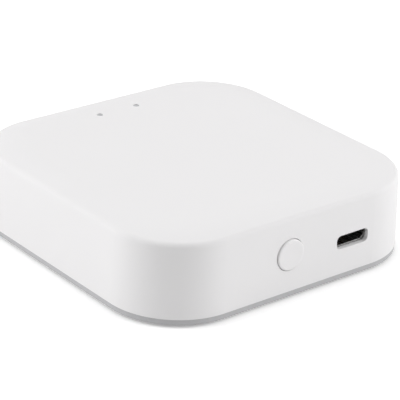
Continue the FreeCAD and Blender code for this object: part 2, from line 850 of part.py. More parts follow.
def all_nodes():
    """Every piece of the controller, by name."""
    left_light, right_light = light_places()
    wifi_x = -module_spread
    radio_x = module_spread
    return {
        "top_cover": top_cover(),
        "base_cover": base_cover(),
        "rubber_feet": rubber_feet(),
        "rating_label": rating_label(),
        "case_screws": case_screws(),
        "main_board": main_board(),
        "board_screws": board_screws(),
        "usb_shell": usb_shell(),
        "usb_insulator": usb_insulator(),
        "usb_contacts": usb_contacts(),
        "reset_button": reset_button(),
        "switch_housing": switch_housing(),
        "switch_cover": switch_cover(),
        "switch_plunger": switch_plunger(),
        "switch_dome": switch_dome(),
        "switch_terminals": switch_terminals(),
        "network_led": light_emitter(left_light),
        "radio_led": light_emitter(right_light),
        "network_light_pipe": light_pipe(left_light),
        "radio_light_pipe": light_pipe(right_light),
        "wifi_module_board": module_board(wifi_x),
        "wifi_module_shield": module_shield(wifi_x),
        "wifi_chip": module_chip(wifi_x),
        "wifi_antenna": module_antenna(wifi_x),
        "radio_module_board": module_board(radio_x),
        "radio_module_shield": module_shield(radio_x),
        "radio_chip": module_chip(radio_x),
        "radio_antenna": module_antenna(radio_x),
        "module_solder_joints": module_solder_joints(),
        "voltage_regulator": voltage_regulator(),
        "regulator_leads": regulator_leads(),
        "input_capacitor": tantalum_capacitor(regulator_y - capacitor_pitch / 2),
        "output_capacitor": tantalum_capacitor(regulator_y + capacitor_pitch / 2),
        "resettable_fuse": resettable_fuse(),
        "surge_diode": surge_diode(),
        "chip_resistors": chip_row(wifi_x, resistor_count),
        "chip_capacitors": chip_row(radio_x, ceramic_count),
    }


def main():
    """Write one file for each piece."""
    os.makedirs("parts", exist_ok=True)
    for name, shape in all_nodes().items():
        print(name, len(shape.Solids), round(shape.Volume, 3), shape.isValid())
        shape.exportStep("parts/" + name + ".step")


main()
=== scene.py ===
import json
import math

import bmesh
import bpy
from mathutils import Quaternion, Vector
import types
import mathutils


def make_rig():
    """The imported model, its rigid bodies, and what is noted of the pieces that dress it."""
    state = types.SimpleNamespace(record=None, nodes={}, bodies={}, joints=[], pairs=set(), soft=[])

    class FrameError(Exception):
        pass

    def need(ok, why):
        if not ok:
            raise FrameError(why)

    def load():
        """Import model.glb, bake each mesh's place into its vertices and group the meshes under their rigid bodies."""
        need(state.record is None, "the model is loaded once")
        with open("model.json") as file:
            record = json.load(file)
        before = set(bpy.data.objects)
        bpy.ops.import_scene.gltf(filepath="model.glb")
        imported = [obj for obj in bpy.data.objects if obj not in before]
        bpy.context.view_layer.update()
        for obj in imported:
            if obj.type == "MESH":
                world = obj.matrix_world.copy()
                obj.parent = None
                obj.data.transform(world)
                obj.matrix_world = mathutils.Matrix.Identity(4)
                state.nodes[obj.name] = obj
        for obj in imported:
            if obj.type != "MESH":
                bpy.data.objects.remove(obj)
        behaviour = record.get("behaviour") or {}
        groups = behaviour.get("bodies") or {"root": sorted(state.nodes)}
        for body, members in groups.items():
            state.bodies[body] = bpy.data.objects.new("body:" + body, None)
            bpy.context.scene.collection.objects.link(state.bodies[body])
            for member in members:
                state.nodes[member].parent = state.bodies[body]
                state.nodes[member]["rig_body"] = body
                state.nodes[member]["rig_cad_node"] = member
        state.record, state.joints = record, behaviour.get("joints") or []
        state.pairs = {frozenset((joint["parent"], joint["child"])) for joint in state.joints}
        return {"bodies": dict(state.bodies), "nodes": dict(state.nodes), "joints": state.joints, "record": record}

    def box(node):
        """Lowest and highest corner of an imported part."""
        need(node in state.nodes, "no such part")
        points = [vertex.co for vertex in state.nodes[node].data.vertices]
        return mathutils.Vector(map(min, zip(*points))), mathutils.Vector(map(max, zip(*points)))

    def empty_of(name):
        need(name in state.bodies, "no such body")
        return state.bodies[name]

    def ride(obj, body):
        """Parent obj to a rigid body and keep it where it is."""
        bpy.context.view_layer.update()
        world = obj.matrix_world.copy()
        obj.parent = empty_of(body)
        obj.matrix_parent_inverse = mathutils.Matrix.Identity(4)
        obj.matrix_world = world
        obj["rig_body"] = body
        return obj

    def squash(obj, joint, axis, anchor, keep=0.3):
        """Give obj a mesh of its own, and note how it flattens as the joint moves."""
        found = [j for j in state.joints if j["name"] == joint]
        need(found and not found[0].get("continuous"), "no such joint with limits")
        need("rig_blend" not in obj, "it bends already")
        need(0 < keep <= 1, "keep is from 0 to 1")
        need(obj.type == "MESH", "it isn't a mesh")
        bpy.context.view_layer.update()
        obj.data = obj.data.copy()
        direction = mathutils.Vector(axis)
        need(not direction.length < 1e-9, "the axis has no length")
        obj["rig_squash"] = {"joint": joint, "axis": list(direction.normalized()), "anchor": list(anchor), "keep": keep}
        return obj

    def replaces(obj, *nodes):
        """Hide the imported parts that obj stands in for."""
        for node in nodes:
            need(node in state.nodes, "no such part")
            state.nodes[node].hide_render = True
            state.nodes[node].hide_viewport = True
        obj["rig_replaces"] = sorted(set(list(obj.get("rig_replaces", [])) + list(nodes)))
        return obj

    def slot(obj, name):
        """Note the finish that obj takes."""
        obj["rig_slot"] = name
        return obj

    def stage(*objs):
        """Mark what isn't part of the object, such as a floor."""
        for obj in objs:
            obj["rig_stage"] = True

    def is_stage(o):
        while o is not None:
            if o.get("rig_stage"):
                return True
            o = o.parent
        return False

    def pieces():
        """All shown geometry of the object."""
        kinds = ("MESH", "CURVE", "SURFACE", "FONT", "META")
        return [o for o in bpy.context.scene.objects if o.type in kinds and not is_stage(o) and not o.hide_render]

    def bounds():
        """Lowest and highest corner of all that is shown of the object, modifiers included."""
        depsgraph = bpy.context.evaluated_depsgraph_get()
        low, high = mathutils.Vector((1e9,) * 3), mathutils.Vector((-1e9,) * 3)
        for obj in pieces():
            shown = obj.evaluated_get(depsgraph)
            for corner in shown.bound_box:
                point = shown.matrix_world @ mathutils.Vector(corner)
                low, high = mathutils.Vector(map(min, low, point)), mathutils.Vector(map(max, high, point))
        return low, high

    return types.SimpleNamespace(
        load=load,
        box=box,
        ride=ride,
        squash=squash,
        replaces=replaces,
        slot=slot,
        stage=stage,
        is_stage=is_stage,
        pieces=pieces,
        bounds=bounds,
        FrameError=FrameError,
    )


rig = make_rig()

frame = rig.load()
cad_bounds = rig.bounds()

bl_info = {
    "name": "Lighting gateway looks",
    "version": (1, 0, 0),
    "blender": (4, 5, 0),
    "location": "3D View > Sidebar > Gateway",
    "description": "Finishes a small white lighting gateway around its packed frame",
    "category": "Object",
}

MM = 0.001
ACROSS = Vector((1, 0, 0))
INWARD = Vector((0, 1, 0))
UP = Vector((0, 0, 1))
WHITE = (1.0, 1.0, 1.0, 1.0)
MERGE_DISTANCE = 0.002 * MM
SMOOTH_TURN = math.radians(35.0)
FLAT_TURN = math.radians(2.0)
SHEET_TURN = 50.0
STRIP_EDGE_SHARE = 0.22

# Both rows of small chips, and in millimetres their width, their pitch and where the
# regulator's leads are from its middle
CHIP_ROWS = ("chip_resistors", "chip_capacitors")
CHIP_WIDTH = 0.8
CHIP_PITCH = 2.0
REGULATOR_LEADS = (-2.3, 0.0, 2.3)


# Settings that a user may change


def length(name, description, millimetres):
    """A length, given in millimetres and kept in metres."""
    return bpy.props.FloatProperty(
        name=name,
        description=description,
        default=millimetres * MM,
        min=0.0,
        subtype="DISTANCE",
        unit="LENGTH",
    )


def colour(name, description, red, green, blue):
    """A colour, as linear shares of red, green and blue."""
    return bpy.props.FloatVectorProperty(
        name=name,
        description=description,
        default=(red, green, blue),
        min=0.0,
        max=1.0,
        size=3,
        subtype="COLOR",
    )


def share(name, description, default):
    """A number from 0 to 1."""
    return bpy.props.FloatProperty(
        name=name, description=description, default=default, min=0.0, max=1.0, subtype="FACTOR"
    )


def angle(name, description, degrees):
    """An angle, given in degrees and kept in radians."""
    return bpy.props.FloatProperty(
        name=name, description=description, default=math.radians(degrees), unit="ROTATION"
    )


class GatewaySizes(bpy.types.PropertyGroup):
    """Sizes of the details that are finished here."""

    cap_radius: length("Cap radius", "Radius of the button's cap", 2.82)
    cap_edge: length("Cap edge", "Rounding of the button's rim", 0.2)
    cap_dish: length("Cap dish", "Depth of the hollow that a fingertip feels in the button", 0.05)
    stem_radius: length("Stem radius", "Radius of the stem behind the button", 1.1)
    flange_behind: length("Flange place", "From the cap's face back to its flange", 2.076)
    flange_thick: length("Flange", "Thickness of the flange that keeps the button in", 0.7)
    foot_radius: length("Foot radius", "Radius of a rubber foot", 4.0)
    foot_edge: length("Foot edge", "Rounding of a rubber foot", 0.2)
    foot_groove: length("Foot groove", "Depth of the grip ring in a foot", 0.12)
    pipe_tip_radius: length("Pipe tip", "Radius of the light pipes where they come out", 0.56)
    pipe_tip_length: length("Pipe tip length", "Length of that thin part", 0.95)
    shell_sheet: length("Socket sheet", "Thickness of the socket's steel", 0.3)
    shell_slope_width: length("Socket slope width", "Width of the socket's sloping corners", 0.9)
    shell_slope_height: length("Socket slope height", "Height of those corners", 1.0)
    shell_tab: length("Socket tab", "Reach of the socket's soldered tabs", 0.8)
    case_head_radius: length("Case screw head", "Radius of the case screws' heads", 1.9)
    case_head_height: length("Case screw head height", "Height of the case screws' heads", 1.2)
    case_shank_radius: length("Case screw shank", "Radius of the case screws' shanks", 1.0)
    board_head_height: length("Board screw head height", "Height of the board screws' heads", 0.9)
    board_shank_radius: length("Board screw shank", "Radius of the board screws' shanks", 0.9)


class GatewayColours(bpy.types.PropertyGroup):
    """The colours of the gateway's surfaces."""

    cover: colour("Cover", "White plastic of the top cover", 0.862, 0.853, 0.858)
    # The base's grey, darker than the white cover, is painted shade of the gap under the cover's rim
    base: colour("Base", "Grey plastic of the base", 0.50, 0.50, 0.51)
    button: colour("Button", "White plastic of the button", 0.862, 0.853, 0.858)
    rubber: colour("Rubber", "Grey rubber of the feet", 0.30, 0.30, 0.29)
    label: colour("Label", "Film of the blank label", 0.62, 0.62, 0.61)
    steel: colour("Steel", "Plated steel of the socket and the switch", 0.56, 0.56, 0.55)
    zinc: colour("Zinc", "Zinc plating of the screws", 0.60, 0.61, 0.62)
    black: colour("Black plastic", "Moulded parts of the socket and switch", 0.02, 0.02, 0.022)
    gold: colour("Gold", "Plating of the contacts and antennas", 0.83, 0.58, 0.24)
    pipe: colour("Light pipe", "Clear plastic of the light pipes", 0.66, 0.67, 0.69)


class GatewayStage(bpy.types.PropertyGroup):
    """The photograph's viewpoint and the studio round the gateway."""

    aim: bpy.props.FloatVectorProperty(
        name="Aim",
        description="The point in the middle of the picture",
        default=(0.774 * MM, -1.588 * MM, 6.636 * MM),
        size=3,
        subtype="TRANSLATION",
        unit="LENGTH",
    )
    distance: length("Distance", "From the camera to the aim", 356.13)
    azimuth: angle("Azimuth", "Side that the camera stands on", -39.848)
    elevation: angle("Elevation", "Height of the camera as an angle", 24.82)
    roll: angle("Roll", "Tilt of the camera", 2.675)
    lens: bpy.props.FloatProperty(
        name="Lens", description="Focal length", default=179.55, unit="CAMERA"
    )
    room_light: share("Room light", "Strength of the even light from all round", 0.29)
    floor_lift: share("Floor lift", "White that the camera alone sees on the floor", 0.29)


# Modelling by hand, step by step


def alone(piece=None):
    """Selects one piece, or nothing."""
    bpy.ops.object.select_all(action="DESELECT")
    if piece:
        piece.select_set(True)
        bpy.context.view_layer.objects.active = piece


def edit(piece, kind="FACE"):
    """Opens one piece for editing its faces, edges or vertices."""
    alone(piece)
    bpy.ops.object.mode_set(mode="EDIT")
    bpy.ops.mesh.select_mode(type=kind)
    bpy.ops.mesh.select_all(action="DESELECT")


def select_whole(kind=None):
    """Selects all of the open piece."""
    if kind:
        bpy.ops.mesh.select_mode(type=kind)
    bpy.ops.mesh.select_all(action="SELECT")


def leave():
    """Closes the piece that is open."""
    bpy.ops.object.mode_set(mode="OBJECT")


def pick(kind, wanted):
    """Selects the faces or the edges of the open piece that are wanted."""
    mesh = bpy.context.edit_object.data
    bpy.ops.mesh.select_all(action="DESELECT")
    work = bmesh.from_edit_mesh(mesh)
    for part in getattr(work, kind):
        if wanted(part):
            part.select_set(True)
    bmesh.update_edit_mesh(mesh)


def push(step):
    """Extrudes what is selected by a step."""
    bpy.ops.mesh.extrude_region_move(TRANSFORM_OT_translate={"value": step})


def close_up():
    """Merges seams and poles of the open piece, turns its faces outwards and closes it."""
    select_whole()
    bpy.ops.mesh.remove_doubles(threshold=MERGE_DISTANCE)
    bpy.ops.mesh.normals_make_consistent(inside=False)
    leave()


def block(low, high):
    """A box from one corner to the other."""
    alone()
    bpy.ops.mesh.primitive_cube_add(size=1.0, location=(low + high) / 2, scale=high - low)
    bpy.ops.object.transform_apply(location=True, rotation=True, scale=True)
    return bpy.context.object


def block_round(middle, half):
    """A box round its middle."""
    return block(middle - half, middle + half)


def drawn(points, closed=False):
    """Edges drawn from point to point, left open in edit mode."""
    alone()
    bpy.ops.mesh.primitive_plane_add(size=MM, location=points[0])
    bpy.ops.object.transform_apply(location=True, rotation=True, scale=True)
    edit(bpy.context.object, "VERT")
    select_whole()
    bpy.ops.mesh.merge(type="CENTER")
    for here, there in zip(points, points[1:]):
        bpy.ops.mesh.extrude_vertices_move(TRANSFORM_OT_translate={"value": there - here})
    select_whole()
    if closed:
        bpy.ops.mesh.edge_face_add()
    return bpy.context.edit_object


def scaled(shares, across, along):
    """A profile of radius and place, each as shares of a length."""
    return [(across * out, along * place) for out, place in shares]


def turned(middle, axis, profile, sides=48):
    """A round piece spun from a profile of radius and place along the axis."""
    piece = drawn([middle + ACROSS * radius + axis * place for radius, place in profile])
    bpy.ops.mesh.spin(steps=sides, angle=2 * math.pi, center=middle, axis=axis)
    close_up()
    return piece


def rod(foot, radius, tall, sides):
    """A plain upright rod that stands on a point."""
    profile = [(0.0, 0.0), (radius, 0.0), (radius, tall), (0.0, tall)]
    return turned(foot, UP, profile, sides)


def prism(points, step):
    """A solid whose section is a closed outline."""
    piece = drawn(points, closed=True)
    select_whole("FACE")
    push(step)
    close_up()
    return piece


def modify(piece, kind, **values):
    """Applies a modifier with its values to a piece."""
    alone(piece)
    step = piece.modifiers.new(kind, kind)
    for name, value in values.items():
        setattr(step, name, value)
    bpy.ops.object.modifier_apply(modifier=step.name)
    return piece


def soften(piece, width, segments=2, turn=30.0):
    """Rounds the edges that turn by more than some degrees."""
    limit = {"limit_method": "ANGLE", "angle_limit": math.radians(turn)}
    return modify(piece, "BEVEL", width=width, segments=segments, **limit)


def combine(piece, tool):
    """Cuts a tool out of a piece and takes the tool away."""
    modify(piece, "BOOLEAN", operation="DIFFERENCE", solver="EXACT", object=tool)
    bpy.data.objects.remove(tool)
    return piece


def dimpled(piece, place, radius):
    """Presses a round dimple into the top of a piece, down to a place."""
    return combine(piece, rod(place, radius, MM, 24))


def copied(piece, step):
    """A copy of a piece, with a mesh of its own, a step away."""
    alone(piece)
    bpy.ops.object.duplicate(linked=False)
    twin = bpy.context.object
    twin.location = step
    bpy.ops.object.transform_apply(location=True, rotation=False, scale=False)
    return twin


def joined(pieces):
    """Several pieces as one object."""
    alone(pieces[0])
    for piece in pieces:
        piece.select_set(True)
    bpy.ops.object.join()
    return pieces[0]


def repeated(piece, steps):
    """A piece and its copies at some steps from it, as one object."""
    return joined([piece] + [copied(piece, step) for step in steps])


def at_corners(piece, one_way, other_way):
    """A piece at all four corners of an oblong, given at the first of them."""
    return repeated(piece, [one_way, other_way, one_way + other_way])


def flat(point, height):
    """A point moved to a height."""
    return Vector((point.x, point.y, height))


def ribbon(points, width, floor, thick):
    """A flat track of even width along a path at some height."""
    left, right = [], []
    for i, here in enumerate(points):
        spans = zip(points[max(i - 1, 0) :], points[max(i, 1) : i + 2])
        ways = [(end - start).normalized() for start, end in spans]
        way = sum(ways, Vector((0, 0))).normalized()
        side = Vector((-way.y, way.x)) * (width / 2 / way.dot(ways[0]))
        left.append(flat(here + side, floor))
        right.append(flat(here - side, floor))
    return prism(left + right[::-1], UP * thick)


def in_mm(node):
    """The low and the high corner of a CAD node, in millimetres."""
    return [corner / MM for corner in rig.box(node)]


def front_of(node):
    """The middle of a CAD node's front, half its width, and its depth."""
    low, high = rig.box(node)
    middle = Vector(((low.x + high.x) / 2, low.y, (low.z + high.z) / 2))
    return middle, (high.x - low.x) / 2, high.y - low.y


def row_places(name):
    """Middle and both ends, in millimetres, of every part in a row of small chips."""
    low, high = in_mm(name)
    count = round((high.x - low.x - CHIP_WIDTH) / CHIP_PITCH) + 1
    return [(low.x + CHIP_WIDTH / 2 + i * CHIP_PITCH, low.y, high.y) for i in range(count)]


def strip(path, out, side, start, width, thick):
    """A bent strip of sheet: its middle follows a path that goes out and up, beside a start."""
    piece = drawn([out * reach + side * start + UP * height for reach, height in path])
    select_whole("EDGE")
    push(side * width)
    close_up()
    give_wall(piece, thick, 0.0)
    return soften(piece, thick * STRIP_EDGE_SHARE, turn=SHEET_TURN)


def give_wall(piece, thick, offset=-1.0, even=True):
    """Gives an open sheet its thickness: inwards, or to both sides with no offset."""
    modify(piece, "SOLIDIFY", thickness=thick, offset=offset, use_even_offset=even)


def keep_side(piece, middle, way):
    """Keeps the part of a solid that lies on one side of a plane, and closes it there."""
    edit(piece)
    select_whole()
    bpy.ops.mesh.bisect(plane_co=middle, plane_no=way, use_fill=True, clear_inner=True)
    leave()


def split(piece, middle, way):
    """Adds a line of edges where a plane crosses a piece, and leaves the piece open."""
    edit(piece)
    select_whole()
    bpy.ops.mesh.bisect(plane_co=middle, plane_no=way)


def refined(node, width):
    """A copy of a CAD node with its seams merged and its edges rounded."""
    piece = bpy.data.objects.new(node + "_copy", frame["nodes"][node].data.copy())
    bpy.context.scene.collection.objects.link(piece)
    piece.data.materials.clear()
    edit(piece)
    select_whole()
    bpy.ops.mesh.remove_doubles(threshold=MERGE_DISTANCE)
    bpy.ops.mesh.dissolve_limited(angle_limit=FLAT_TURN)
    leave()
    bpy.ops.mesh.customdata_custom_splitnormals_clear()
    if width:
        soften(piece, width)
    return piece


def paint(piece, material):
    """Gives a whole piece one material."""
    piece.data.materials.clear()
    piece.data.materials.append(material)
    return piece


def brick(low, high, edge, material, segments=2):
    """A box with rounded edges, in one material."""
    return paint(soften(block(low, high), edge, segments), material)


def end_capped(low, high, along, cap, body, metal, top=None):
    """A small chip part: a fired body, a plated cap on each end and sometimes a glazed top."""
    inset = 0.03 * MM
    corner = Vector((inset, inset, inset))
    pieces = [brick(low + corner, high - corner, 0.02 * MM, body)]
    across = high - low - along * (high - low).dot(along)
    for start in (low, high - along * cap - across):
        pieces.append(brick(start, start + along * cap + across, 0.04 * MM, metal))
    if top:
        margin = along * (cap + inset) + (ACROSS + INWARD - along) * 2 * inset
        glaze_low = low + margin + UP * (high.z - low.z - 2 * inset)
        pieces.append(brick(glaze_low, high - margin, 0.015 * MM, top))
    return joined(pieces)


def settle(piece, name, slot, nodes=(), material=None, body="case"):
    """Names a finished piece, shades and dresses it and ties it to its body and CAD nodes."""
    piece.name = name
    piece.data.name = name
    if material:
        paint(piece, material)
    alone(piece)
    bpy.ops.object.shade_smooth_by_angle(angle=SMOOTH_TURN)
    modify(piece, "WEIGHTED_NORMAL", keep_sharp=True)
    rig.ride(piece, body)
    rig.slot(piece, slot)
    if nodes:
        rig.replaces(piece, *nodes)
    return piece


def settle_copy(node, name, slot, material, edge):
    """A refined copy of a CAD node, settled under a name of its own."""
    return settle(refined(node, edge), name, slot, [node], material)


def dress(node, material):
    """Gives a CAD node a material."""
    mesh = frame["nodes"][node].data
    mesh.materials.clear()
    mesh.materials.append(material)


# Effects that several finishes share


def feed(tree, value, socket):
    """Gives a socket a value of its own, or the value of another socket."""
    if isinstance(value, bpy.types.NodeSocket):
        tree.links.new(value, socket)
    else:
        socket.default_value = value


def add_node(tree, kind, inputs=(), **properties):
    """What a new shader node gives, with its properties set and its sockets fed."""
    node = tree.nodes.new("ShaderNode" + kind)
    for name, value in properties.items():
        setattr(node, name, value)
    for socket in inputs:
        feed(tree, inputs[socket], node.inputs[socket])
    return node.outputs


def add_math(tree, operation, first, second):
    """What an operation makes of two values, each a number or a socket."""
    return add_node(tree, "Math", {0: first, 1: second}, operation=operation)[0]


def add_noise(tree, vector, scale, detail):
    """Noise at a place, with its scale per metre."""
    inputs = {"Vector": vector, "Scale": scale, "Detail": detail}
    return add_node(tree, "TexNoise", inputs)["Fac"]


def add_range(tree, value, low, high, start=0.0, end=1.0):
    """A value between a start and an end, spread between two others."""
    inputs = {"From Min": start, "From Max": end, "To Min": low, "To Max": high}
    return add_node(tree, "MapRange", {"Value": value, **inputs})["Result"]


def add_mix(tree, mask, first, second):
    """A colour between two, each a colour or a socket, by a mask."""
    return add_node(tree, "Mix", {0: mask, 6: first, 7: second}, data_type="RGBA")[2]


def new_group(name, inputs, outputs):
    """An empty effect: its tree, what it is given by place or value, and what it gives."""
    tree = bpy.data.node_groups.new(name, "ShaderNodeTree")
    for socket, value in inputs.items():
        kind = "NodeSocketVector" if value is None else "NodeSocketFloat"
        kind = "NodeSocketColor" if isinstance(value, tuple) else kind
        made = tree.interface.new_socket(name=socket, in_out="INPUT", socket_type=kind)
        if value is not None:
            made.default_value = value
    for socket in outputs:
        kind = "NodeSocketColor" if socket == "Color" else "NodeSocketFloat"
        tree.interface.new_socket(name=socket, in_out="OUTPUT", socket_type=kind)
    given, out = tree.nodes.new("NodeGroupInput"), tree.nodes.new("NodeGroupOutput")
    return tree, given.outputs, out.inputs


def grain_effect():
    """Fine moulded or cast grain: a height, and a roughness between two ends."""
    inputs = {"Vector": None, "Scale": 6000.0, "Smooth": 0.4, "Rough": 0.5}
    tree, given, out = new_group("moulded grain", inputs, ("Height", "Roughness"))
    broad = add_noise(tree, given["Vector"], 140.0, 3.0)
    feed(tree, add_noise(tree, given["Vector"], given["Scale"], 2.0), out["Height"])
    feed(tree, add_range(tree, broad, given["Smooth"], given["Rough"]), out["Roughness"])
    return tree


def tone_effect():
    """A slow drift between two near colours."""
    inputs = {"Vector": None, "Scale": 60.0, "Light": WHITE, "Dark": WHITE}
    tree, given, out = new_group("tone drift", inputs, ["Color"])
    drift = add_noise(tree, given["Vector"], given["Scale"], 2.0)
    feed(tree, add_mix(tree, drift, given["Light"], given["Dark"]), out["Color"])
    return tree


def streak_effect():
    """Rolling or brushing marks along one axis of stretched noise, as a mask and a height."""
    inputs = {"Vector": None, "Scale": 900.0}
    tree, given, out = new_group("rolled streaks", inputs, ("Mask", "Height"))
    stretch = {"Vector": given["Vector"], "Scale": (1.0, 0.04, 1.0)}
    place = add_node(tree, "Mapping", stretch)["Vector"]
    marks = add_noise(tree, place, given["Scale"], 4.0)
    feed(tree, add_range(tree, marks, 0.0, 1.0), out["Mask"])
    feed(tree, marks, out["Height"])
    return tree


def weave_effect():
    """Glass cloth under a board's lacquer: crossing threads, as a mask and a height."""
    inputs = {"Vector": None, "Scale": 900.0}
    tree, given, out = new_group("laminate weave", inputs, ("Mask", "Height"))
    wave = {name: given[name] for name in inputs} | {"Distortion": 0.6, "Detail": 1.0}
    threads = [add_node(tree, "TexWave", wave, bands_direction=way)["Fac"] for way in ("X", "Y")]
    cross = add_math(tree, "MULTIPLY", *threads)
    feed(tree, cross, out["Mask"])
    feed(tree, cross, out["Height"])
    return tree


effects = {}


def make_effects():
    """Builds the shared effects once."""
    effects.update(grain=grain_effect(), tone=tone_effect())
    effects.update(streak=streak_effect(), weave=weave_effect())


class Finish:
    """A material in the making: its tree, its shader's sockets and its object coordinates."""

    def __init__(self, name, metallic=0.0):
        self.material = bpy.data.materials.new(name)
        self.material.use_nodes = True
        self.tree = self.material.node_tree
        self.sockets = self.tree.nodes["Principled BSDF"].inputs
        self.feed("Metallic", metallic)
        self.place = add_node(self.tree, "TexCoord")["Object"]

    def feed(self, name, value):
        """Gives the shader one of its values, as a number or a socket."""
        feed(self.tree, value, self.sockets[name])

    def effect(self, name, **values):
        """What one of the shared effects gives, with this finish's own values."""
        inputs = {"Vector": self.place, **values}
        return add_node(self.tree, "Group", inputs, node_tree=effects[name])

    def toned(self, light, drop, scale=60.0):
        """A colour that drifts a little darker here and there."""
        dark = tuple(part * (1.0 - drop) for part in light)
        drift = self.effect("tone", Scale=scale, Light=(*light, 1.0), Dark=(*dark, 1.0))
        self.feed("Base Color", drift["Color"])

    def grained(self, scale, depth, smooth, rough):
        """Grain of a scale per metre and a depth in metres, with a roughness between two ends."""
        grain = self.effect("grain", Scale=scale, Smooth=smooth, Rough=rough)
        self.feed("Roughness", grain["Roughness"])
        self.raised(grain["Height"], depth)

    def raised(self, height, depth):
        """A relief from a height."""
        inputs = {"Distance": depth, "Strength": 1.0, "Height": height}
        self.feed("Normal", add_node(self.tree, "Bump", inputs)["Normal"])


def plastic(
    name, tone, drop=0.012, grain=6500.0, depth=0.0012, smooth=0.42, rough=0.5, drift=60.0, more=()
):
    """Moulded plastic: a slowly drifting colour, fine grain of a depth in mm, and more values."""
    finish = Finish(name)
    finish.toned(tuple(tone), drop, drift)
    finish.grained(grain, depth * MM, smooth, rough)
    for socket, value in more:
        finish.feed(socket, value)
    return finish.material


def dull_resin(name, tone, grain):
    """The dull black plastic of the socket and the switch."""
    return plastic(name, tone, drop=0.2, grain=grain, smooth=0.4, rough=0.55)


def sheet_metal(name, tone, smooth, rough, depth=0.002, scale=2500.0):
    """Plated sheet: a metal whose roughness follows rolling streaks of a depth in mm."""
    finish = Finish(name, metallic=1.0)
    finish.toned(tuple(tone), 0.12, 250.0)
    streaks = finish.effect("streak", Scale=scale)
    finish.feed("Roughness", add_range(finish.tree, streaks["Mask"], smooth, rough))
    finish.raised(streaks["Height"], depth * MM)
    return finish.material


def laminate(name, dark, light):
    """Lacquered laminate: glass cloth showing faintly under coloured solder mask."""
    finish = Finish(name)
    cloth = finish.effect("weave", Scale=420.0)
    toned = add_mix(finish.tree, cloth["Mask"], (*dark, 1.0), (*light, 1.0))
    finish.feed("Base Color", toned)
    grain = finish.effect("grain", Scale=1800.0, Smooth=0.26, Rough=0.4)
    finish.feed("Roughness", grain["Roughness"])
    finish.raised(cloth["Height"], 0.002 * MM)
    finish.feed("Coat Weight", 0.25)
    return finish.material


def chip_resin(name):
    """Black moulding resin of the chips, with a fine dull grain."""
    black = (0.020, 0.020, 0.022)
    return plastic(name, black, drop=0.3, grain=5500.0, depth=0.002, smooth=0.45, rough=0.6)


def solder_metal(name):
    """Tin on leads, pads and fillets, bright and a little uneven."""
    tin = (0.74, 0.74, 0.73)
    return sheet_metal(name, tin, 0.14, 0.3, depth=0.001, scale=1400.0)


# The stage


class GATEWAY_OT_stage(bpy.types.Operator):
    """Sets the floor, the lights and the camera of the photograph"""

    bl_idname = "gateway.stage"
    bl_label = "Stage"

    floor_size = 8.0
    floor_colour = (0.9, 0.9, 0.9, 1.0)
    lift_from = 0.05
    lift_to = 0.35
    far_lift = 0.75

    # Place, size and power of each lamp, in metres and watts
    lamps = {
        "left_softbox": ((-0.52, 0.40, 0.30), 0.5, 3.15),
        "right_softbox": ((0.40, -0.39, 0.28), 0.5, 2.3),
        "top_softbox": ((0.0, 0.1, 0.8), 0.8, 2.1),
    }

    def execute(self, context):
        stage = context.scene.gateway_stage
        alone()
        bpy.ops.mesh.primitive_plane_add(size=self.floor_size)
        floor = context.object
        floor.name = "studio_floor"
        floor.data.materials.append(self.floor_paint(stage))
        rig.stage(floor)
        self.room(context, stage)
        for name, (place, size, power) in self.lamps.items():
            self.lamp(context, name, Vector(place), size, power)
        self.camera(context, stage)
        context.scene.view_settings.view_transform = "Standard"
        return {"FINISHED"}

    def seen_directly(self, tree):
        """1 for camera, mirror and glass rays, and 0 for all others."""
        path = add_node(tree, "LightPath")
        total = path["Is Camera Ray"]
        for name in ("Is Glossy Ray", "Is Transmission Ray"):
            total = add_math(tree, "MAXIMUM", total, path[name])
        return total

    def floor_paint(self, stage):
        """White floor that keeps shadows and looks white to the camera, more so far away."""
        material = bpy.data.materials.new("studio floor")
        material.use_nodes = True
        tree = material.node_tree
        tree.nodes.clear()
        diffuse = add_node(tree, "BsdfDiffuse", {"Color": self.floor_colour})[0]
        place = add_node(tree, "TexCoord")["Object"]
        distance = add_node(tree, "VectorMath", {0: place}, operation="LENGTH")["Value"]
        ends = (stage.floor_lift, self.far_lift, self.lift_from, self.lift_to)
        lift = add_range(tree, distance, *ends)
        strength = add_math(tree, "MULTIPLY", self.seen_directly(tree), lift)
        glow = add_node(tree, "Emission", {"Strength": strength})[0]
        both = add_node(tree, "AddShader", {0: diffuse, 1: glow})[0]
        add_node(tree, "OutputMaterial", {"Surface": both})
        return material

    def room(self, context, stage):
        """Even light from all round, white where it is seen."""
        world = bpy.data.worlds.new("studio room")
        context.scene.world = world
        world.use_nodes = True
        tree = world.node_tree
        light = tree.nodes["Background"]
        feed(tree, WHITE, light.inputs["Color"])
        feed(tree, stage.room_light, light.inputs["Strength"])
        seen = add_node(tree, "Background", {"Color": WHITE, "Strength": 1.0})[0]
        parts = {0: self.seen_directly(tree), 1: light.outputs[0], 2: seen}
        mixed = add_node(tree, "MixShader", parts)[0]
        feed(tree, mixed, tree.nodes["World Output"].inputs["Surface"])

    def lamp(self, context, name, place, size, power):
        """A square softbox that faces the gateway."""
        data = bpy.data.lights.new(name, "AREA")
        data.shape = "SQUARE"
        data.size = size
        data.energy = power
        lamp = bpy.data.objects.new(name, data)
        context.scene.collection.objects.link(lamp)
        lamp.location = place
        lamp.rotation_euler = place.to_track_quat("Z", "Y").to_euler()

    def camera(self, context, stage):
        """The camera of the photograph."""
        level = math.cos(stage.elevation)
        side, back = math.sin(stage.azimuth) * level, -math.cos(stage.azimuth) * level
        away = Vector((side, back, math.sin(stage.elevation)))
        data = bpy.data.cameras.new("camera")
        data.lens = stage.lens
        data.sensor_width = 36.0
        data.clip_start = 10 * MM
        camera = bpy.data.objects.new("camera", data)
        context.scene.collection.objects.link(camera)
        camera.location = Vector(stage.aim) + away * stage.distance
        camera.rotation_mode = "QUATERNION"
        roll = Quaternion((0, 0, 1), stage.roll)
        camera.rotation_quaternion = away.to_track_quat("Z", "Y") @ roll
        context.scene.camera = camera


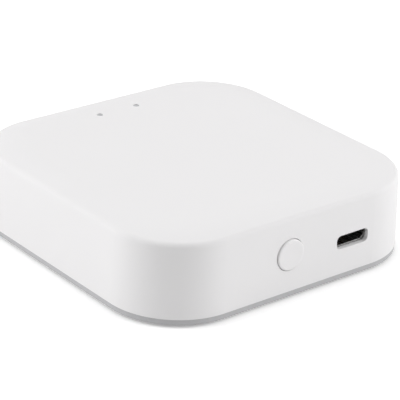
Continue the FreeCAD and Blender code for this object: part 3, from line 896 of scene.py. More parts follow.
# The case and what shows on it


class GATEWAY_OT_case(bpy.types.Operator):
    """Gives the two moulded covers their grained plastic; the base's darker grey is painted shade of the gap under the
    cover's rim
    """

    bl_idname = "gateway.case"
    bl_label = "Case covers"

    def execute(self, context):
        colours = context.scene.gateway_colours
        dull = [("Specular IOR Level", 0.22)]
        cover = plastic("cover plastic", colours.cover, smooth=0.62, rough=0.7, more=dull)
        coarse = {"grain": 3800.0, "depth": 0.004}
        # The darker grey of the base plastic is painted shade of the gap under the cover's rim
        base = plastic("base plastic", colours.base, smooth=0.5, rough=0.62, **coarse)
        dress("top_cover", cover)
        dress("base_cover", base)
        return {"FINISHED"}


class GATEWAY_OT_button(bpy.types.Operator):
    """Turns the reset button: a faintly dished cap, its flange and its stem"""

    bl_idname = "gateway.button"
    bl_label = "Reset button"

    dish_shares = ((0.0, 1.0), (0.3, 0.9), (0.55, 0.5), (0.72, 0.12), (0.82, 0.0))

    def execute(self, context):
        sizes = context.scene.gateway_sizes
        middle, flange_radius, reach = front_of("reset_button")
        cap, stem = sizes.cap_radius, sizes.stem_radius
        flange_front = sizes.flange_behind
        flange_back = flange_front + sizes.flange_thick
        profile = scaled(self.dish_shares, cap, sizes.cap_dish)
        profile += [(cap, 0.0), (cap, flange_front)]
        profile += [(flange_radius, flange_front), (flange_radius, flange_back)]
        profile += [(stem, flange_back), (stem, reach), (0.0, reach)]
        button = soften(turned(middle, INWARD, profile, sides=96), sizes.cap_edge, segments=4)
        tone, dull = context.scene.gateway_colours.button, [("Specular IOR Level", 0.35)]
        fine = {"depth": 0.0009, "smooth": 0.5, "rough": 0.58}
        white = plastic("button plastic", tone, more=dull, **fine)
        node = "reset_button"
        settle(button, "reset_button_cap", "button_plastic", [node], white, body="button")
        return {"FINISHED"}


class GATEWAY_OT_feet(bpy.types.Operator):
    """Turns the four rubber feet, each with a shallow grip ring underneath"""

    bl_idname = "gateway.feet"
    bl_label = "Rubber feet"

    ring_shares = ((0.84, 0.0), (0.78, 1.0), (0.42, 1.0), (0.36, 0.0), (0.0, 0.0))

    def execute(self, context):
        sizes = context.scene.gateway_sizes
        low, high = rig.box("rubber_feet")
        radius = sizes.foot_radius
        profile = [(0.0, high.z), (radius, high.z), (radius, 0.0)]
        profile += scaled(self.ring_shares, radius, sizes.foot_groove)
        corner = Vector((low.x + radius, low.y + radius, 0.0))
        foot = soften(turned(corner, UP, profile, sides=64), sizes.foot_edge, segments=3)
        wide = high.x - low.x - 2 * radius
        deep = high.y - low.y - 2 * radius
        feet = at_corners(foot, ACROSS * wide, INWARD * deep)
        tone = context.scene.gateway_colours.rubber
        coarse = {"grain": 2600.0, "depth": 0.006, "smooth": 0.62, "rough": 0.78}
        rubber = plastic("foot rubber", tone, drop=0.08, drift=300.0, **coarse)
        settle(feet, "rubber_feet_rings", "foot_rubber", ["rubber_feet"], rubber)
        return {"FINISHED"}


class GATEWAY_OT_label(bpy.types.Operator):
    """Finishes the blank label under the base as a satin film with a rolled-down edge"""

    bl_idname = "gateway.label"
    bl_label = "Blank label"

    def execute(self, context):
        tone = context.scene.gateway_colours.label
        satin = {"grain": 9000.0, "depth": 0.0008, "smooth": 0.3, "rough": 0.42}
        film = plastic("label film", tone, drop=0.05, drift=120.0, **satin)
        settle_copy("rating_label", "rating_label_film", "label_film", film, 0.03 * MM)
        return {"FINISHED"}


class GATEWAY_OT_lights(bpy.types.Operator):
    """Makes both indicator lights: a chip LED with its lens, and the clear pipe above it"""

    bl_idname = "gateway.lights"
    bl_label = "Indicator lights"

    terminal_length = 0.3 * MM
    terminal_height = 0.2 * MM
    lens_margin = (0.2 * MM, 0.02 * MM)
    foot_dome = ((0.0, 0.0), (0.5, 0.03), (0.85, 0.1), (1.0, 0.22))
    tip_dome = ((1.0, -0.07), (0.7, -0.02), (0.35, -0.003), (0.0, 0.0))

    def execute(self, context):
        colours = context.scene.gateway_colours
        clear = plastic(
            "clear plastic",
            colours.pipe,
            drop=0.06,
            grain=3000.0,
            depth=0.0006,
            smooth=0.12,
            rough=0.2,
            drift=900.0,
            more=[("Transmission Weight", 0.2), ("IOR", 1.49)],
        )
        white = plastic("led package", (0.82, 0.82, 0.78), 0.03, smooth=0.3, rough=0.4)
        lens = plastic(
            "led lens resin",
            (0.86, 0.74, 0.30),
            drop=0.12,
            grain=5000.0,
            depth=0.0008,
            smooth=0.14,
            rough=0.24,
            drift=1500.0,
            more=[("Coat Weight", 0.3)],
        )
        plated = sheet_metal("led terminals", colours.gold, 0.22, 0.42)
        for name in ("network", "radio"):
            self.led(name, white, lens, plated)
            self.pipe(name, context.scene.gateway_sizes, clear)
        return {"FINISHED"}

    def led(self, name, white, lens, plated):
        """One chip LED: package, domed lens and two plated ends."""
        low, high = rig.box(name + "_led")
        half_way = low.z + (high.z - low.z) / 2
        margin = Vector((*self.lens_margin, 0))
        lens_low = flat(low + margin, half_way)
        parts = [brick(low, flat(high, half_way), 0.04 * MM, white)]
        parts.append(brick(lens_low, high - margin, 0.16 * MM, lens, segments=4))
        for start in (low.x, high.x - self.terminal_length):
            end_low = Vector((start, low.y, low.z))
            end_high = Vector((start + self.terminal_length, high.y, low.z + self.terminal_height))
            parts.append(brick(end_low, end_high, 0.02 * MM, plated))
        settle(joined(parts), name + "_led_chip", "led_package", [name + "_led"])

    def pipe(self, name, sizes, clear):
        """One light pipe with a domed tip and a domed foot that gathers the light."""
        node = name + "_light_pipe"
        low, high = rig.box(node)
        radius, tip = (high.x - low.x) / 2, sizes.pipe_tip_radius
        tall = high.z - low.z
        shoulder = tall - sizes.pipe_tip_length
        profile = scaled(self.foot_dome, radius, MM)
        profile += [(radius, shoulder), (tip, shoulder)]
        profile += [(out, tall + rise) for out, rise in scaled(self.tip_dome, tip, MM)]
        pipe = turned(flat((low + high) / 2, low.z), UP, profile)
        settle(pipe, node + "_clear", "light_pipe_clear", [node], clear)


# The screws


class GATEWAY_OT_screws(bpy.types.Operator):
    """Turns the screws, with rolled threads and cross recesses"""

    bl_idname = "gateway.screws"
    bl_label = "Screws"

    crown_share = 0.55
    crown_drop = 0.02 * MM
    head_shares = ((0.82, 0.1), (0.96, 0.32), (1.0, 0.6), (1.0, 1.0))
    neck_length = 0.1 * MM
    point_length = 0.5 * MM
    point_shares = (0.85, 0.25, 0.0)
    thread_pitch = 0.5 * MM
    thread_share = 0.16
    rings_per_turn = 6
    cross_arm_share = 0.55
    cross_slot_share = 0.125
    cross_depth_share = 0.6

    def execute(self, context):
        sizes = context.scene.gateway_sizes
        zinc = sheet_metal("zinc plating", context.scene.gateway_colours.zinc, 0.26, 0.4)
        low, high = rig.box("case_screws")
        head, shank = sizes.case_head_radius, sizes.case_shank_radius
        first = Vector((low.x + head, low.y + head, low.z))
        one = self.screw(first, UP, head, sizes.case_head_height, shank, high.z - low.z)
        wide, deep = high.x - low.x - 2 * head, high.y - low.y - 2 * head
        screws = at_corners(one, ACROSS * wide, INWARD * deep)
        settle(screws, "case_screws_threaded", "screw_steel", ["case_screws"], zinc)
        low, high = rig.box("board_screws")
        head, shank = (high.y - low.y) / 2, sizes.board_shank_radius
        first = Vector((low.x + head, low.y + head, high.z))
        one = self.screw(first, -UP, head, sizes.board_head_height, shank, high.z - low.z)
        screws = repeated(one, [ACROSS * (high.x - low.x - 2 * head)])
        settle(screws, "board_screws_threaded", "screw_steel", ["board_screws"], zinc)
        return {"FINISHED"}

    def screw(self, start, axis, head_radius, head_height, radius, reach):
        """One pan-head screw from the crown of its head to its point."""
        bare, tip = head_height + self.neck_length, reach - self.point_length
        ring_gap = self.thread_pitch / self.rings_per_turn
        profile = [(0.0, 0.0), (head_radius * self.crown_share, self.crown_drop)]
        profile += scaled(self.head_shares, head_radius, head_height)
        profile += [(radius, head_height)]
        profile += [(radius, bare + i * ring_gap) for i in range(int((tip - bare) / ring_gap))]
        ends = (tip, reach, reach)
        profile += [(radius * share, place) for share, place in zip(self.point_shares, ends)]
        screw = turned(start, axis, profile, sides=24)
        self.roll_thread(screw, start, axis, radius, bare + ring_gap, tip - ring_gap)
        arm, slot = head_radius * self.cross_arm_share, head_radius * self.cross_slot_share
        for wide, long in ((arm, slot), (slot, arm)):
            half = Vector((wide, long, head_height * self.cross_depth_share))
            combine(screw, block_round(start, half))
        return screw

    def roll_thread(self, screw, start, axis, radius, first, last):
        """Presses a helical thread into the shank between two places along it."""
        for corner in screw.data.vertices:
            away = corner.co - start
            place = away.dot(axis)
            arm = away - axis * place
            if first <= place <= last and abs(arm.length - radius) < 0.1 * radius:
                turn = math.atan2(arm.y, arm.x) / (2 * math.pi)
                wave = abs(((place / self.thread_pitch - turn) % 1.0) * 2 - 1)
                corner.co -= arm.normalized() * (self.thread_share * radius) * wave


# The socket and the switch


class GATEWAY_OT_socket(bpy.types.Operator):
    """Folds the micro-USB socket's shell and finishes its tongue and contacts"""

    bl_idname = "gateway.socket"
    bl_label = "Micro-USB socket"

    fold_width = 0.3 * MM
    latch_place = (1.9 * MM, 1.9 * MM)
    latch_half = (0.45 * MM, 0.8 * MM)
    seam_place = 0.9 * MM
    seam_half = 0.03 * MM
    tab_margin = 0.15 * MM
    tab_length = 1.3 * MM
    tab_height = 1.5 * MM

    def execute(self, context):
        colours = context.scene.gateway_colours
        steel = sheet_metal("socket steel", colours.steel, 0.18, 0.36)
        shell = self.shell(context.scene.gateway_sizes)
        settle(shell, "usb_shell_folded", "socket_steel", ["usb_shell"], steel)
        resin = dull_resin("socket resin", colours.black, 5000.0)
        tongue = "usb_insulator_tongue"
        settle_copy("usb_insulator", tongue, "socket_plastic", resin, 0.05 * MM)
        gold = sheet_metal("contact gold", colours.gold, 0.14, 0.28)
        settle_copy("usb_contacts", "usb_contacts_sprung", "contact_gold", gold, 0.02 * MM)
        return {"FINISHED"}

    def shell(self, sizes):
        """The folded shell, with its seam, latch windows and soldered tabs."""
        low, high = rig.box("usb_shell")
        left, right = low.x + sizes.shell_tab, high.x - sizes.shell_tab
        slope_x, slope_z = sizes.shell_slope_width, sizes.shell_slope_height
        outline = [(right, high.z), (right, low.z + slope_z), (right - slope_x, low.z)]
        outline += [(left + slope_x, low.z), (left, low.z + slope_z), (left, high.z)]
        shell = drawn([Vector((x, low.y, z)) for x, z in outline + outline[:1]])
        bpy.ops.mesh.remove_doubles(threshold=MERGE_DISTANCE)
        select_whole("EDGE")
        push(INWARD * (high.y - low.y))
        pick("edges", lambda edge: abs(edge.verts[0].co.y - edge.verts[1].co.y) > MERGE_DISTANCE)
        bpy.ops.mesh.bevel(offset=self.fold_width, segments=4)
        close_up()
        give_wall(shell, sizes.shell_sheet)
        middle, through = (low + high) / 2, 2 * sizes.shell_sheet
        aside, behind = self.latch_place
        for side in (-1, 1):
            window = Vector((middle.x + side * aside, low.y + behind, high.z))
            combine(shell, block_round(window, Vector((*self.latch_half, through))))
        seam = Vector((middle.x + self.seam_place, middle.y, low.z))
        combine(shell, block_round(seam, Vector((self.seam_half, high.y - low.y, through))))
        soften(shell, 0.04 * MM, turn=SHEET_TURN)
        return joined([shell] + self.tabs(sizes, low, high))

    def tabs(self, sizes, low, high):
        """The four bent tabs that are soldered to the board."""
        thick = sizes.shell_sheet
        floor = low.z + thick / 2
        front = max(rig.box("main_board")[0].y, low.y) + self.tab_margin
        made = []
        for side, end in ((-1, low.x), (1, high.x)):
            bend = end - side * (sizes.shell_tab - thick / 2)
            path = [(bend, low.z + self.tab_height), (bend, floor), (end, floor)]
            for start in (front, high.y - self.tab_length):
                made.append(strip(path, ACROSS, INWARD, start, self.tab_length, thick))
        return made


class GATEWAY_OT_switch(bpy.types.Operator):
    """Finishes the side-pressed switch: housing with rivets, plate, plunger, dome and legs"""

    bl_idname = "gateway.switch"
    bl_label = "Tact switch"

    travel = 0.35 * MM
    rivet_inset = 0.55 * MM
    rivet_proud = 0.18
    rivet = ((0.0, 0.0), (0.2, 0.01), (0.34, 0.07), (0.38, rivet_proud), (0.0, rivet_proud))
    tip_round = 0.2
    flange_rim = 0.5 * MM
    flange_thick = 0.6 * MM

    def execute(self, context):
        colours = context.scene.gateway_colours
        black = dull_resin("switch resin", colours.black, 4500.0)
        steel = sheet_metal("switch steel", colours.steel, 0.24, 0.4)
        housing = joined([refined("switch_housing", 0.08 * MM), self.rivets()])
        settle(housing, "switch_housing_riveted", "switch_plastic", ["switch_housing"], black)
        edge = 0.04 * MM
        settle_copy("switch_cover", "switch_cover_plate", "switch_steel", steel, edge)
        settle_copy("switch_terminals", "switch_terminal_legs", "switch_steel", steel, edge)
        dome = settle_copy("switch_dome", "switch_dome_sprung", "switch_steel", steel, 0.0)
        dome_low, dome_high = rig.box("switch_dome")
        tall = dome_high.y - dome_low.y
        pressed = (tall - self.travel) / tall
        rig.squash(dome, "switch_plunger_slide", axis=INWARD, anchor=dome_high, keep=pressed)
        self.plunger(black)
        return {"FINISHED"}

    def rivets(self):
        """Four pins of the housing, melted over the steel plate at its corners."""
        low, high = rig.box("switch_housing")
        inset = self.rivet_inset
        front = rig.box("switch_cover")[0].y - self.rivet_proud * MM
        corner = Vector((low.x + inset, front, low.z + inset))
        pin = turned(corner, INWARD, scaled(self.rivet, MM, MM), sides=20)
        wide, tall = high.x - low.x - 2 * inset, high.z - low.z - 2 * inset
        return at_corners(pin, ACROSS * wide, UP * tall)

    def plunger(self, black):
        """The pin that the button pushes, rounded at its tip."""
        middle, flange, reach = front_of("switch_plunger")
        stem, shoulder = flange - self.flange_rim, reach - self.flange_thick
        profile = [(0.0, 0.0), (stem * (1 - self.tip_round), 0.0), (stem, stem * self.tip_round)]
        profile += [(stem, shoulder), (flange, shoulder), (flange, reach), (0.0, reach)]
        pin = soften(turned(middle, INWARD, profile, sides=40), 0.05 * MM)
        node = "switch_plunger"
        settle(pin, "switch_plunger_pin", "switch_plastic", [node], black, body="plunger")


# The board and what is soldered to it


class GATEWAY_OT_board(bpy.types.Operator):
    """Finishes the circuit board: bare edges, tracks, vias, pads and white outlines"""

    bl_idname = "gateway.board"
    bl_label = "Circuit board"

    copper_thick = 0.035 * MM
    copper_step = 0.002 * MM
    pad_thick = 0.06 * MM
    pad_edge = 0.03 * MM
    ink_thick = 0.045 * MM
    ink_width = 0.15 * MM
    dot_radius = 0.2 * MM
    dot_gap = 0.45 * MM

    # Places and sizes on the board, in millimetres
    track_width = 0.3
    supply_width = 0.6
    signal_tracks = (
        ((-4.7, -21.0), (-4.7, -12.5), (-3.2, -11.0), (-3.2, -2.0), (-4.5, -0.7)),
        ((-0.3, -21.0), (-0.3, -19.1), (-1.0, -18.4)),
        ((-4.7, 22.0), (-3.4, 20.7), (-3.4, 10.4), (-4.5, 9.3)),
        ((3.8, 22.0), (3.4, 21.6), (3.4, 10.4), (4.5, 9.3)),
        ((-3.2, 22.0), (-2.2, 21.0), (-2.2, 19.4)),
        ((5.0, 22.0), (5.0, 20.0), (4.4, 19.4)),
        ((-4.5, 7.3), (4.5, 7.3)),
        ((-4.5, 5.3), (4.5, 5.3)),
        ((-21.5, 1.3), (-22.6, 0.2), (-22.6, -6.4)),
        ((21.5, 1.3), (22.6, 0.2), (22.6, -6.4)),
        ((13.0, -23.0), (14.1, -21.9)),
    )
    supply_tracks = (
        ((10.35, -23.0), (9.75, -22.4), (8.65, -21.3), (7.45, -21.3)),
        ((4.05, -21.2), (2.75, -19.9), (2.75, -19.4)),
        ((5.85, -18.4), (7.65, -18.4), (8.35, -19.1), (9.35, -19.1)),
        ((10.05, -13.3), (7.85, -13.3), (7.35, -13.8), (5.85, -13.8)),
        ((2.55, -13.6), (0.9, -11.95), (0.9, -0.5), (-2.9, 3.3), (-4.5, 3.3)),
        ((0.9, -0.3), (4.5, 3.3)),
        ((14.85, -21.3), (16.65, -21.3), (18.05, -19.9)),
    )
    loose_vias = (
        (-1.0, -18.4),
        (-2.2, 19.4),
        (4.4, 19.4),
        (-22.6, -6.4),
        (22.6, -6.4),
        (18.05, -19.9),
    )
    side_vias = tuple((side * 24.4, -3.0 + 3.0 * i) for side in (-1, 1) for i in range(7))
    via_ring = ((0.0, 0.0), (0.34, 0.0), (0.33, 0.03), (0.24, 0.045), (0.14, 0.02), (0.0, 0.015))
    stub_start = 0.2
    front_stub = 2.0
    back_stub = 1.3
    test_points = tuple((x, y) for y in (-14.0, -17.0) for x in (-16.0, -13.0, -10.0))
    fiducials = ((-15.8, 21.0), (15.8, 21.0), (-14.0, -23.5))
    disc_thick = 0.045
    disc_edge = 0.03

    # Pads at both ends of a part: beyond it, under it, and from its front and its back
    part_pads = {
        "input_capacitor": (0.3, 1.1, 0.2, -0.2),
        "output_capacitor": (0.3, 1.1, 0.2, -0.2),
        "resettable_fuse": (0.25, 0.6, -0.1, 0.1),
        "surge_diode": (0.3, 1.0, 0.35, -0.35),
        "network_led": (0.2, 0.4, -0.05, 0.05),
        "radio_led": (0.2, 0.4, -0.05, 0.05),
    }
    switch_pads = {
        "switch_terminals": (0.2, 0.9, 0.05, 0.35),
        "switch_cover": (0.25, 0.95, 0.3, 0.15),
    }
    shell_pad = (0.25, 1.0)
    shell_pad_rows = ((-26.95, -25.42), (-25.3, -23.75))
    module_pad = (0.75, 0.4)
    module_pad_rows = tuple((2.0 * i - 0.1, 2.0 * i + 1.0) for i in range(6))

    # Pads round a place: half their width, and their front and back from it
    lead_pad = (0.5, -0.2, 1.0)
    tab_pad = (1.8, -1.1, 0.25)
    contact_pad = (0.2, -0.5, 0.3)
    contact_places = tuple(0.15 + 0.65 * i for i in range(5))
    chip_front_pad = (0.5, -0.3, 0.35)
    chip_back_pad = (0.5, -0.35, 0.3)

    # Room between a part and its printed outline
    modules = ("wifi_module_board", "radio_module_board")
    outlined = dict.fromkeys(modules, 1.0) | {"voltage_regulator": 0.3}
    outlined |= dict.fromkeys(part_pads, 0.45)

    def execute(self, context):
        self.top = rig.box("main_board")[1].z
        self.slab()
        copper = laminate("masked copper", (0.035, 0.21, 0.09), (0.045, 0.24, 0.11))
        gold = sheet_metal("board gold", context.scene.gateway_colours.gold, 0.2, 0.34)
        ink = plastic("outline ink", (0.76, 0.76, 0.73), 0.06, smooth=0.5, rough=0.62)
        for make, name, slot, material in (
            (self.tracks, "board_tracks", "board_laminate", copper),
            (self.vias, "board_vias", "board_laminate", copper),
            (self.pads, "board_pads", "solder", solder_metal("tinned pads")),
            (self.discs, "board_test_points", "antenna_copper", gold),
            (self.outlines, "board_outlines", "board_laminate", ink),
        ):
            settle(make(), name, slot, material=material)
        return {"FINISHED"}

    def slab(self):
        """The laminate itself, lacquered above and below and bare at its sawn edges."""
        slab = refined("main_board", 0.04 * MM)
        for name, dark, light in (
            ("board mask", (0.012, 0.115, 0.048), (0.016, 0.135, 0.058)),
            ("bare laminate", (0.42, 0.37, 0.20), (0.48, 0.43, 0.26)),
        ):
            slab.data.materials.append(laminate(name, dark, light))
        for face in slab.data.polygons:
            face.material_index = 0 if abs(face.normal.z) > 0.5 else 1
        settle(slab, "main_board_lacquered", "board_laminate", ["main_board"])

    def spot(self, x, y):
        """A point on the board's top, from millimetres."""
        return Vector((x * MM, y * MM, self.top))

    def small_chips(self):
        """Places of all the small chips."""
        return [place for name in CHIP_ROWS for place in row_places(name)]

    def tracks(self):
        """Copper tracks, each a hair thicker or thinner than the next."""
        routes = [(points, self.track_width) for points in self.signal_tracks]
        routes += [(points, self.supply_width) for points in self.supply_tracks]
        for x, low, high in self.small_chips():
            front = ((x, low - self.stub_start), (x, low - self.front_stub))
            back = ((x, high + self.stub_start), (x, high + self.back_stub))
            routes += [(front, self.track_width), (back, self.track_width)]
        tracks = []
        for order, (points, width) in enumerate(routes):
            thick = self.copper_thick + self.copper_step * (order % 3)
            path = [Vector(point) * MM for point in points]
            tracks.append(ribbon(path, width * MM, self.top, thick))
        return joined(tracks)

    def vias(self):
        """Lacquered vias at the ends of tracks and in rows beside the modules."""
        stub_ends = tuple((x, low - self.front_stub) for x, low, _ in self.small_chips())
        spots = [self.spot(x, y) for x, y in self.loose_vias + stub_ends + self.side_vias]
        via = turned(spots[0], UP, scaled(self.via_ring, MM, MM), sides=14)
        return repeated(via, [spot - spots[0] for spot in spots[1:]])

    def at_ends(self, node, beyond, under, front, back):
        """Sides of the two pads at the ends of a CAD node, in millimetres."""
        left, right = (corner.x for corner in in_mm(node))
        ends = ((left - beyond, left + under), (right - under, right + beyond))
        return [(*end, front, back) for end in ends]

    def at_place(self, x, y, half, front, back):
        """Sides of a pad round a place, in millimetres."""
        return (x - half, x + half, y + front, y + back)

    def pads(self):
        """Tinned pads under every soldered part."""
        sides = []
        for name, (beyond, under, front, back) in (self.part_pads | self.switch_pads).items():
            low, high = in_mm(name)
            sides += self.at_ends(name, beyond, under, low.y + front, high.y + back)
        for row in self.shell_pad_rows:
            sides += self.at_ends("usb_shell", *self.shell_pad, *row)
        start = in_mm("module_solder_joints")[0].y
        for name in self.modules:
            for front, back in self.module_pad_rows:
                sides += self.at_ends(name, *self.module_pad, start + front, start + back)
        low, high = in_mm("regulator_leads")
        middle = (low.x + high.x) / 2
        sides += [self.at_place(middle + x, low.y, *self.lead_pad) for x in REGULATOR_LEADS]
        sides.append(self.at_place(middle, high.y, *self.tab_pad))
        low, high = in_mm("usb_contacts")
        sides += [self.at_place(low.x + x, high.y, *self.contact_pad) for x in self.contact_places]
        for x, front, back in self.small_chips():
            sides.append(self.at_place(x, front, *self.chip_front_pad))
            sides.append(self.at_place(x, back, *self.chip_back_pad))
        return joined([self.pad(*four) for four in sides])

    def pad(self, left, right, front, back):
        """One tinned pad between sides given in millimetres."""
        high = self.spot(right, back) + UP * self.pad_thick
        return soften(block(self.spot(left, front), high), self.pad_edge)

    def discs(self):
        """Gold test points and the round marks that a placing machine looks for."""
        discs = []
        tall, edge = self.disc_thick, self.disc_edge
        for radius, places in ((0.6, self.test_points), (0.5, self.fiducials)):
            rim = [(0.0, 0.0), (radius, 0.0), (radius, edge), (radius - edge, tall), (0.0, tall)]
            for x, y in places:
                discs.append(turned(self.spot(x, y), UP, scaled(rim, MM, MM), sides=28))
        return joined(discs)

    def outlines(self):
        """White printed outlines round the parts, with a dot at the first corner of each."""
        lines = []
        for name, margin in self.outlined.items():
            low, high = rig.box(name)
            rim = (ACROSS + INWARD) * margin * MM
            outer = block(flat(low - rim, self.top), flat(high + rim, self.top + self.ink_thick))
            rim -= (ACROSS + INWARD) * self.ink_width
            inner = block(flat(low - rim, self.top - MM), flat(high + rim, self.top + MM))
            lines.append(combine(outer, inner))
            corner = Vector((low.x - rim.x - self.dot_gap, high.y, self.top))
            lines.append(rod(corner, self.dot_radius, self.ink_thick, 18))
        return joined(lines)


class GATEWAY_OT_modules(bpy.types.Operator):
    """Makes the two radio modules: castellated board, chip, stamped shield, antenna and solder"""

    bl_idname = "gateway.modules"
    bl_label = "Radio modules"

    joint_count = 6
    joint_pitch = 2.0 * MM
    hole_radius = 0.3 * MM
    gold_half = 0.5 * MM
    gold_reach = 0.9 * MM
    gold_lip = 0.03 * MM
    pad_count = 8
    pad_margin = 0.4 * MM
    pad_half = (0.12 * MM, 0.2 * MM, 0.05 * MM)
    pad_proud = 0.03 * MM
    chip_raise = 0.05 * MM
    chip_edge = 0.05 * MM
    dimple_step = Vector((0.7, -0.7, -0.04)) * MM
    dimple_radius = 0.3 * MM
    shield_sheet = 0.2 * MM
    shield_edge = 0.35 * MM
    panel_margin = 0.9 * MM
    panel_slope = 0.15 * MM
    panel_depth = 0.06 * MM
    gap_half = (0.6 * MM, 0.3 * MM)
    gap_places = (-3.6 * MM, 0.0, 3.6 * MM)
    flare = ((0.0, 0.0), (1.0, 0.0), (0.9, 0.05), (0.72, 0.16), (0.64, 0.34), (0.62, 0.7))
    flare_top = ((0.5, 0.9), (0.0, 0.97))
    fill_share = 0.95

    def execute(self, context):
        mask = laminate("module mask", (0.01, 0.02, 0.06), (0.02, 0.03, 0.09))
        tin = sheet_metal("shield tin", (0.56, 0.56, 0.55), 0.24, 0.42)
        resin = chip_resin("module chip resin")
        pads = sheet_metal("chip pads", (0.72, 0.71, 0.68), 0.2, 0.35)
        gold = sheet_metal("antenna gold", context.scene.gateway_colours.gold, 0.22, 0.36)
        for name in ("wifi", "radio"):
            node = name + "_module_board"
            board = self.board(node, mask, gold)
            settle(board, name + "_module_castellated", "module_laminate", [node])
            node = name + "_chip"
            settle(self.chip(node, resin, pads), name + "_chip_package", "chip_plastic", [node])
            node = name + "_module_shield"
            settle(self.shield(node), name + "_shield_stamped", "shield_steel", [node], tin)
            node = name + "_antenna"
            settle_copy(node, node + "_trace", "antenna_copper", gold, 0.02 * MM)
        node, solder = "module_solder_joints", solder_metal("module solder")
        settle(self.solder(), "module_solder_fillets", "solder", [node], solder)
        return {"FINISHED"}

    def joints(self):
        """Where the soldered half holes are along a module, and the width of a joint."""
        low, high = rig.box("module_solder_joints")
        width = high.y - low.y - (self.joint_count - 1) * self.joint_pitch
        start = low.y + width / 2
        return [start + i * self.joint_pitch for i in range(self.joint_count)], width

    def board(self, node, mask, gold):
        """A module's board with gold pads round the half holes in its long edges."""
        low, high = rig.box(node)
        face = high.z - self.gold_lip
        board = soften(block(low, flat(high, face)), 0.04 * MM, segments=1, turn=60.0)
        pads, tools = [], []
        for x, inward in ((low.x, 1), (high.x, -1)):
            left, right = sorted((x, x + inward * self.gold_reach))
            for y in self.joints()[0]:
                start = Vector((left, y - self.gold_half, face))
                pads.append(block(start, Vector((right, y + self.gold_half, high.z))))
                tools.append(rod(Vector((x, y, low.z - MM)), self.hole_radius, 3 * MM, 16))
        board = joined([paint(board, mask), paint(joined(pads), gold)])
        return combine(board, joined(tools))

    def chip(self, node, resin, pads):
        """The chip under a shield, with a pin-one dimple and a row of pads on each side."""
        low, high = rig.box(node)
        rim = (ACROSS + INWARD) * self.pad_proud
        body = soften(block(low + rim + UP * self.chip_raise, high - rim), self.chip_edge)
        dimpled(body, Vector((low.x, high.y, high.z)) + self.dimple_step, self.dimple_radius)
        feet = []
        pitch = (high.x - low.x - 2 * self.pad_margin) / (self.pad_count - 1)
        wide, long, tall = self.pad_half
        for along, out in ((ACROSS, INWARD), (INWARD, ACROSS)):
            half = along * wide + out * long + UP * tall
            start = along * (low.dot(along) + self.pad_margin) + UP * (low.z + tall)
            for place in (low.dot(out) + long, high.dot(out) - long):
                pad = block_round(start + out * place, half)
                feet.append(repeated(pad, [along * i * pitch for i in range(1, self.pad_count)]))
        return joined([paint(body, resin), paint(joined(feet), pads)])

    def shield(self, node):
        """The drawn tin can over a module's chips, with a stamped panel and gaps along its rim."""
        low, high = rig.box(node)
        shield = block(low, high)
        edit(shield)
        pick("faces", lambda face: face.normal.z < -0.9)
        bpy.ops.mesh.delete(type="FACE")
        leave()
        soften(shield, self.shield_edge, segments=4)
        edit(shield)
        pick("faces", lambda face: face.normal.z > 0.99)
        bpy.ops.mesh.inset(thickness=self.panel_margin, depth=0.0)
        bpy.ops.mesh.inset(thickness=self.panel_slope, depth=-self.panel_depth)
        leave()
        give_wall(shield, self.shield_sheet, even=False)
        middle = flat((low + high) / 2, low.z)
        wide, tall = self.gap_half
        for place in self.gap_places:
            for along, out in ((ACROSS, INWARD), (INWARD, ACROSS)):
                half = along * wide + out * (high - low).dot(out) + UP * tall
                combine(shield, block_round(middle + along * place, half))
        return shield

    def solder(self):
        """Solder that fills the half holes and flares out onto the board."""
        low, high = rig.box("module_solder_joints")
        places, width = self.joints()
        outside = scaled(self.flare + self.flare_top, width / 2, high.z - low.z)
        fill = self.hole_radius * self.fill_share
        inside = [(min(radius, fill), place) for radius, place in outside]
        steps = [INWARD * (i * self.joint_pitch) for i in range(1, self.joint_count)]
        fillets = []
        for name in ("wifi", "radio"):
            for out, corner in zip((-1, 1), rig.box(name + "_module_board")):
                middle = Vector((corner.x, places[0], low.z))
                halves = []
                for profile, way in ((outside, out), (inside, -out)):
                    halves.append(turned(middle, UP, profile, sides=20))
                    keep_side(halves[-1], middle, ACROSS * way)
                fillets.append(repeated(joined(halves), steps))
        return joined(fillets)


